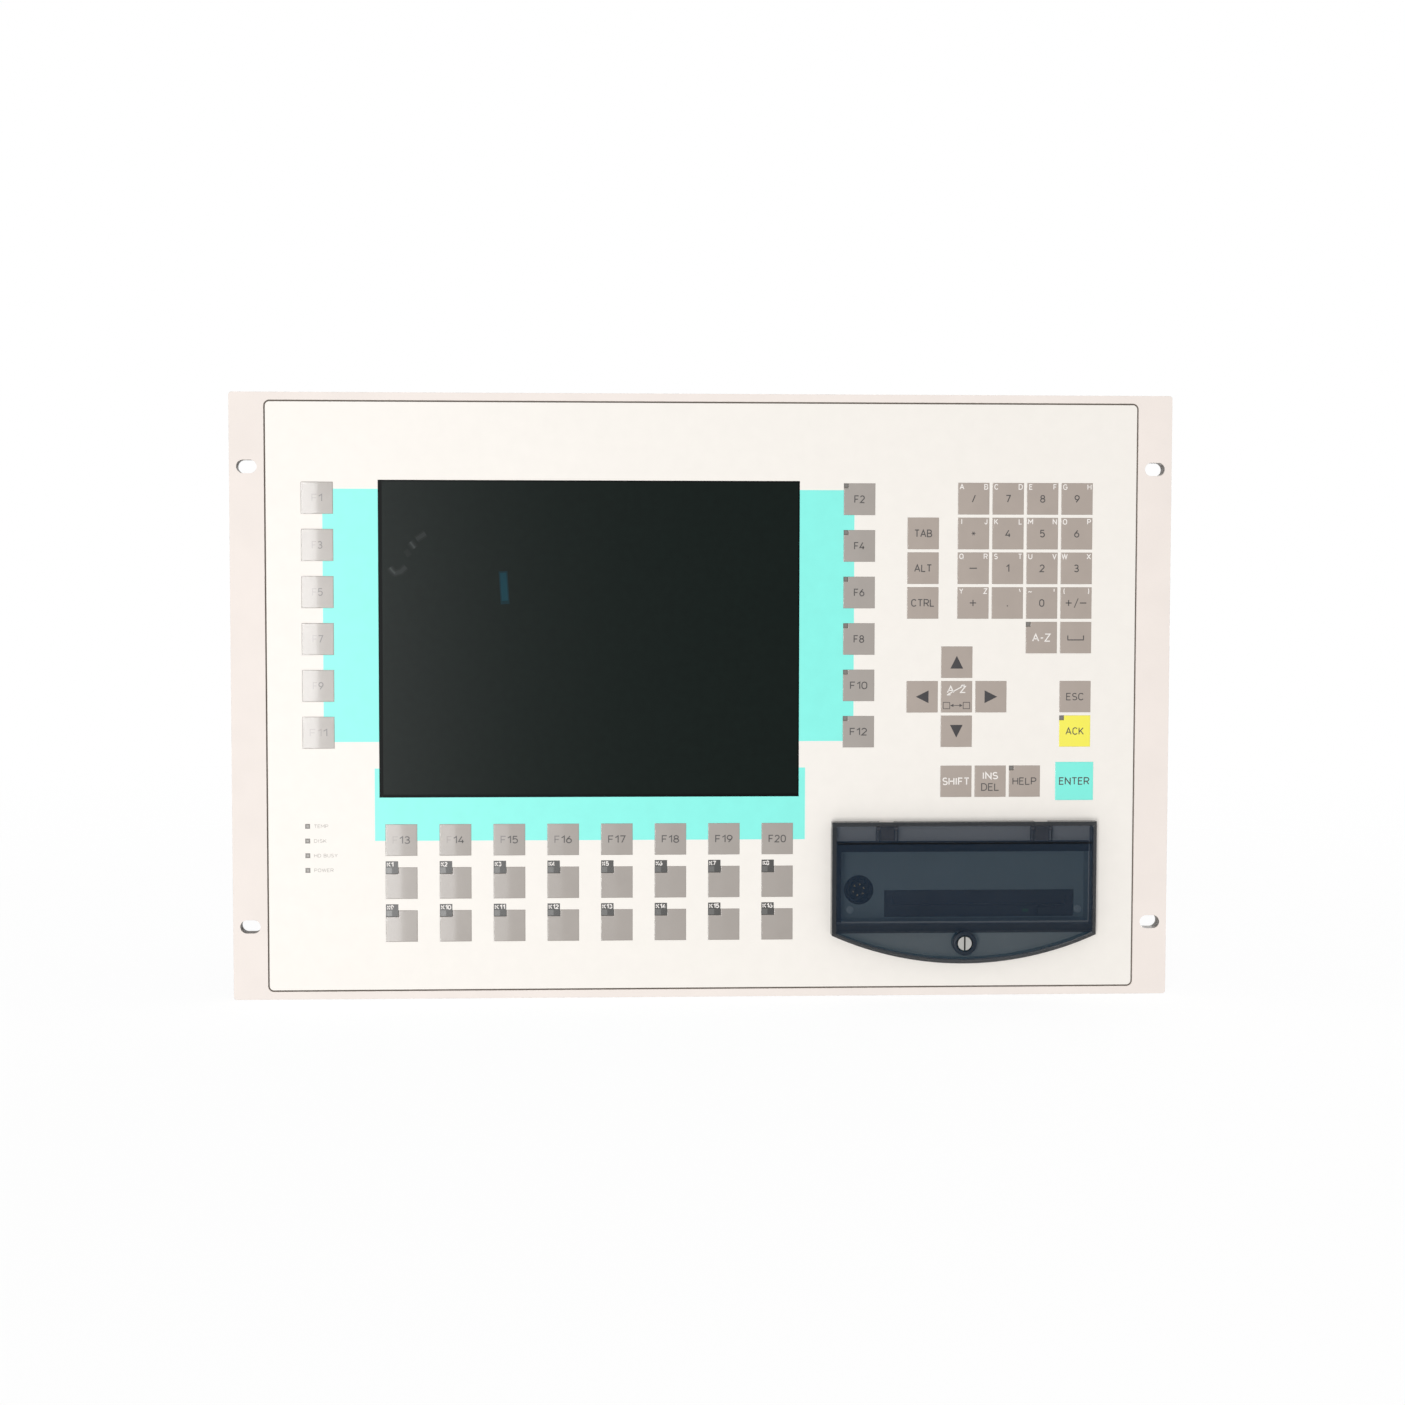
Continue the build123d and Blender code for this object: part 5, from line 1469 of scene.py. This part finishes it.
def makePorts():
    z, back, base, height = (portValues[label] for label in ("z", "back", "base", "height"))
    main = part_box("main_board")[1][1] / mm
    flangeSide, flangeTall, flangeThick = portValues["flange"]
    floor = base + portValues["floor"]
    front = base - flangeThick
    post, thread = (fromRear(portValues[label], base, back) for label in ("post", "thread"))
    shells, inserts, pins, posts = [], [], [], []
    for count, (x, width, row) in enumerate(portValues["ports"]):
        left, right, low, high = x - width / 2, x + width / 2, z - height / 2, z + height / 2
        wall = portValues["wall"]
        shells.append(tube(portOutline(x, z, width, 0), portOutline(x, z, width, wall), base, back, floor))
        shells.append(blockMesh(left - flangeSide, right + flangeSide, front, base,
                                low - flangeTall, high + flangeTall))
        inserts.append(blockMesh(left, right, main, front, low, high))
        female = count == portValues["socketPort"]
        depth = back - portValues["socketFront"] if female else base + portValues["insertFront"]
        gap = portValues["socketGap"] if female else portValues["insertGap"]
        inserts.append(prism(portOutline(x, z, width, wall + gap), floor, depth))
        pin = fromRear(portValues["hole"], 0, depth) if female else fromRear(portValues["pin"], depth, back)
        for line, number in ((portValues["line"], row), (-portValues["line"], row - 1)):
            for step in range(number):
                px = x + (step - (number - 1) / 2) * portValues["pitch"]
                pins.append(lathe("pin", px, z + line, pin, ringAngles(32 if female else 12)))
        for side in (-1, 1):
            px = x + side * (width / 2 + portValues["postReach"])
            posts.append(lathe("post", px, z, post, ringAngles(6, math.pi / 6)))
            posts.append(lathe("thread", px, z, thread, ringAngles(16)))
    shellPiece = joinedPiece("port_shells", shells, "panel", ["shellMetal"], smooth=35)
    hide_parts("rear_connectors")
    joinedPiece("port_inserts", inserts, "panel", ["insulator"])
    joinedPiece("port_pins", pins, "panel", ["pinGold"], smooth=35)
    joinedPiece("port_posts", posts, "panel", ["screwSteel"], smooth=20)


makePorts()

# Power terminal: a block with wire openings below its clamp screws
terminalValues = {
    "x": 41.15, "width": 24.0, "height": 15.0, "poles": 7.2, "poleHalf": 2.6,
    "rows": (1.6, 6.6, 8.2, 13.2), "wireDepth": 4.2, "screwDepth": 1.4,
    "clamp": ((2.2, -1.4), (2.2, -0.6), (2.0, -0.4)), "wireClamp": (1.9, 0.8, 0.9),
    "slot": (1.7, 0.28, -0.42, -0.36),
}


def makeTerminal():
    x, back = terminalValues["x"], portValues["back"]
    left, low = x - terminalValues["width"] / 2, portValues["z"] - terminalValues["height"] / 2
    right, high = left + terminalValues["width"], low + terminalValues["height"]
    poles = [x - terminalValues["poles"], x, x + terminalValues["poles"]]
    half = terminalValues["poleHalf"]
    xs = sorted({left, right} | {pole + side * half for pole in poles for side in (-1, 1)})
    zs = [low] + [low + step for step in terminalValues["rows"]] + [high]
    wire = back - terminalValues["wireDepth"]

    def terminalDepth(px, pz):
        near = min(abs(px - pole) for pole in poles) < half
        if near and zs[1] < pz < zs[2]:
            return wire
        if near and zs[3] < pz < zs[4]:
            return back - terminalValues["screwDepth"]
        return back

    face = steppedFace(xs, zs, terminalDepth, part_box("main_board")[1][1] / mm)
    piece = joinedPiece("power_terminal", [face], "panel", ["terminalGreen"])
    weld(piece.data)
    clampHalf, clampThick, clampInset = terminalValues["wireClamp"]
    slotHalf, slotTall, slotNear, slotFar = terminalValues["slot"]
    middle = (zs[3] + zs[4]) / 2
    clamps, slots = [], []
    for pole in poles:
        clamps.append(lathe("clamp", pole, middle, fromRear(terminalValues["clamp"], back, back)))
        clamps.append(blockMesh(pole - clampHalf, pole + clampHalf, wire, wire + clampThick,
                                zs[1] + clampInset, zs[2] - clampInset))
        slots.append(blockMesh(pole - slotHalf, pole + slotHalf, back + slotNear, back + slotFar,
                               middle - slotTall, middle + slotTall))
    joinedPiece("terminal_clamps", clamps, "panel", ["screwSteel"], smooth=35)
    joinedPiece("clamp_slots", slots, "panel", ["insulator"])


makeTerminal()

# Pressed-in studs on the rear cover and an earth stud: steps of radius and height over the cover
rearValues = {
    "coverThickness": 1.5,
    "studs": (-60.0, 10.0, 236.0, 156.0),
    "stud": ((3.3, -0.02), (3.3, 0.12), (3.1, 0.22), (1.3, 0.22), (1.2, 0.02)),
    "earth": (92.0, -50.0),
    "washer": ((4.6, 0), (4.6, 0.7), (4.4, 0.8)),
    "nut": ((3.9, 0.8), (3.9, 3.3), (3.5, 3.6)),
    "thread": ((2.0, 3.5), (2.0, 3.6), (1.75, 3.8), (2.0, 4.0), (1.75, 4.2), (2.0, 4.4), (1.75, 4.6),
               (2.0, 4.8), (1.75, 5.0), (1.8, 5.2), (1.5, 5.5)),
}


def makeRearDetails():
    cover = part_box("rear_housing")[1][1] / mm + rearValues["coverThickness"]
    x, z, width, height = rearValues["studs"]
    stud = fromRear(rearValues["stud"], cover, cover)
    studs = [lathe("stud", x + side * width / 2, z + end * height / 2, stud)
             for side in (-1, 1) for end in (-1, 1)]
    joinedPiece("pressed_studs", studs, "panel", ["screwSteel"], smooth=35)
    px, pz = rearValues["earth"]
    earth = [lathe(label, px, pz, fromRear(rearValues[label], cover, cover), angles)
             for label, angles in (("washer", None), ("nut", ringAngles(6)), ("thread", None))]
    joinedPiece("earth_stud", earth, "panel", ["screwSteel"], smooth=25)


makeRearDetails()
print("rear ready")

# Compartment: contacts in the round socket and a lamp in the drive's front
socketValues = {"contacts": 6, "circle": 2.9, "turn": 0.3, "face": 1.0,
                "contact": ((0.42, 0), (0.42, -0.08), (0.252, -0.08), (0.21, -0.01))}
driveLampValues = {"left": 6.5, "half": (1.6, 0.8), "front": -0.12, "back": 0.5, "edgeRound": 0.1}


def makeCompartmentDetails():
    low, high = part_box("keyboard_socket")
    x, z = (low[0] + high[0]) / 2 / mm, (low[2] + high[2]) / 2 / mm
    face = low[1] / mm + socketValues["face"]
    contact = fromRear(socketValues["contact"], face, face)
    reach = socketValues["circle"]
    contacts = []
    for turn in ringAngles(socketValues["contacts"], socketValues["turn"]):
        px, pz = x + reach * math.cos(turn), z + reach * math.sin(turn)
        contacts.append(lathe("contact", px, pz, contact, ringAngles(14)))
    joinedPiece("socket_contacts", contacts, "panel", ["pinGold"], smooth=35)
    low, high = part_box("drive_button")
    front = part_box("disk_drive")[0][1] / mm
    x, z = low[0] / mm - driveLampValues["left"], (low[2] + high[2]) / 2 / mm
    across, up = driveLampValues["half"]
    near, far = front + driveLampValues["front"], front + driveLampValues["back"]
    lens = blockMesh(x - across, x + across, near, far, z - up, z + up)
    piece = joinedPiece("drive_lamp", [lens], "panel", ["lensGreen"])
    softenEdges(piece, driveLampValues["edgeRound"])


makeCompartmentDetails()
print("compartment ready")

# Light: an even white surround, one tall soft box and a weak fill at the left, and a fill behind
lightValues = {
    "surround": 0.465,
    "boxPlace": (-1.45, -5.6, -0.25), "boxSize": (1.2, 3.0), "boxPower": 162.0,
    "fillPlace": (-0.62, -5.6, -0.6), "fillSize": (0.4, 2.0), "fillPower": 9.0,
    "rearPlace": (1.8, 4.6, 0.4), "rearSize": (2.5, 2.5), "rearPower": 60.0,
    "frontTarget": (-0.05, 0, 0), "rearTarget": (0, 0.1, 0),
}


def areaLight(name, place, target, size, power):
    data = bpy.data.lights.new(name, "AREA")
    data.shape = "RECTANGLE"
    data.size, data.size_y = size
    data.energy = power
    lamp = bpy.data.objects.new(name, data)
    lamp.location = place
    lamp.rotation_euler = (Vector(target) - Vector(place)).to_track_quat("-Z", "Y").to_euler()
    lamp.visible_camera = False
    bpy.context.scene.collection.objects.link(lamp)


def makeSurround():
    # white wherever the surround is seen, weaker where it lights
    world = bpy.data.worlds.new("surround")
    bpy.context.scene.world = world
    world.use_nodes = True
    tree = world.node_tree
    tree.nodes.clear()
    rays = addNode(tree, "LightPath")
    seen = sumOf(tree, "MAXIMUM", rays.outputs["Is Camera Ray"], rays.outputs["Is Glossy Ray"])
    seen = sumOf(tree, "MAXIMUM", seen, rays.outputs["Is Transmission Ray"])
    strength = remap(tree, seen, (0.0, 1.0), (lightValues["surround"], 1.0))
    light = addNode(tree, "Background", {"Color": (1.0, 1.0, 1.0, 1.0), "Strength": strength})
    addNode(tree, "OutputWorld", {"Surface": light.outputs[0]})


makeSurround()
for name, label, target in (("softBox", "box", "frontTarget"), ("softFill", "fill", "frontTarget"),
                            ("rearFill", "rear", "rearTarget")):
    place, size, power = (lightValues[label + part] for part in ("Place", "Size", "Power"))
    areaLight(name, place, lightValues[target], size, power)

# Floor: a pale disc that fades out, seen by the camera alone
floorValues = {"size": 1.5, "rings": 12, "spokes": 64, "shift": 0.05, "gap": 0.0003,
               "colour": (0.9, 0.9, 0.9, 1.0), "glow": 1.12, "glowShare": 0.8, "fade": (0.35, 0.98)}


def floorMesh():
    size, rings, spokes = floorValues["size"], floorValues["rings"], floorValues["spokes"]
    points = [(0.0, 0.0, 0.0)]
    for ring in range(1, rings + 1):
        reach = size * ring / rings
        points += [(reach * math.cos(angle), reach * math.sin(angle), 0.0) for angle in ringAngles(spokes)]
    faces = [(0, 1 + spoke, 1 + (spoke + 1) % spokes) for spoke in range(spokes)]
    for ring in range(rings - 1):
        for spoke in range(spokes):
            first = 1 + ring * spokes
            after = (spoke + 1) % spokes
            faces.append((first + spoke, first + spokes + spoke, first + spokes + after, first + after))
    mesh = bpy.data.meshes.new("floor")
    mesh.from_pydata(points, [], faces)
    return mesh


def makeFloor():
    mesh = floorMesh()
    floor = bpy.data.objects.new("floor", mesh)
    floor.location = (0, floorValues["shift"], cadBounds[0][2] - floorValues["gap"])
    bpy.context.scene.collection.objects.link(floor)
    material = bpy.data.materials.new("paleFloor")
    material.use_nodes = True
    tree = material.node_tree
    tree.nodes.clear()
    diffuse = addNode(tree, "BsdfDiffuse", {"Color": floorValues["colour"]}).outputs[0]
    white = {"Color": (1.0, 1.0, 1.0, 1.0), "Strength": floorValues["glow"]}
    glow = addNode(tree, "Emission", white).outputs[0]
    soft = addNode(tree, "MixShader", {0: floorValues["glowShare"], 1: diffuse, 2: glow}).outputs[0]
    clear = addNode(tree, "BsdfTransparent").outputs[0]
    distance = addNode(tree, "VectorMath", {0: objectPlace(tree)}, operation="LENGTH").outputs["Value"]
    near, far = floorValues["fade"]
    fade = remap(tree, distance, (floorValues["size"] * near, floorValues["size"] * far))
    unseen = sumOf(tree, "SUBTRACT", 1.0, addNode(tree, "LightPath").outputs["Is Camera Ray"])
    through = sumOf(tree, "MAXIMUM", fade, unseen)
    end = addNode(tree, "MixShader", {0: through, 1: soft, 2: clear})
    addNode(tree, "OutputMaterial", {"Surface": end.outputs[0]})
    mesh.materials.append(material)


makeFloor()
bpy.context.scene.view_settings.view_transform = "Standard"
print("light and floor ready")
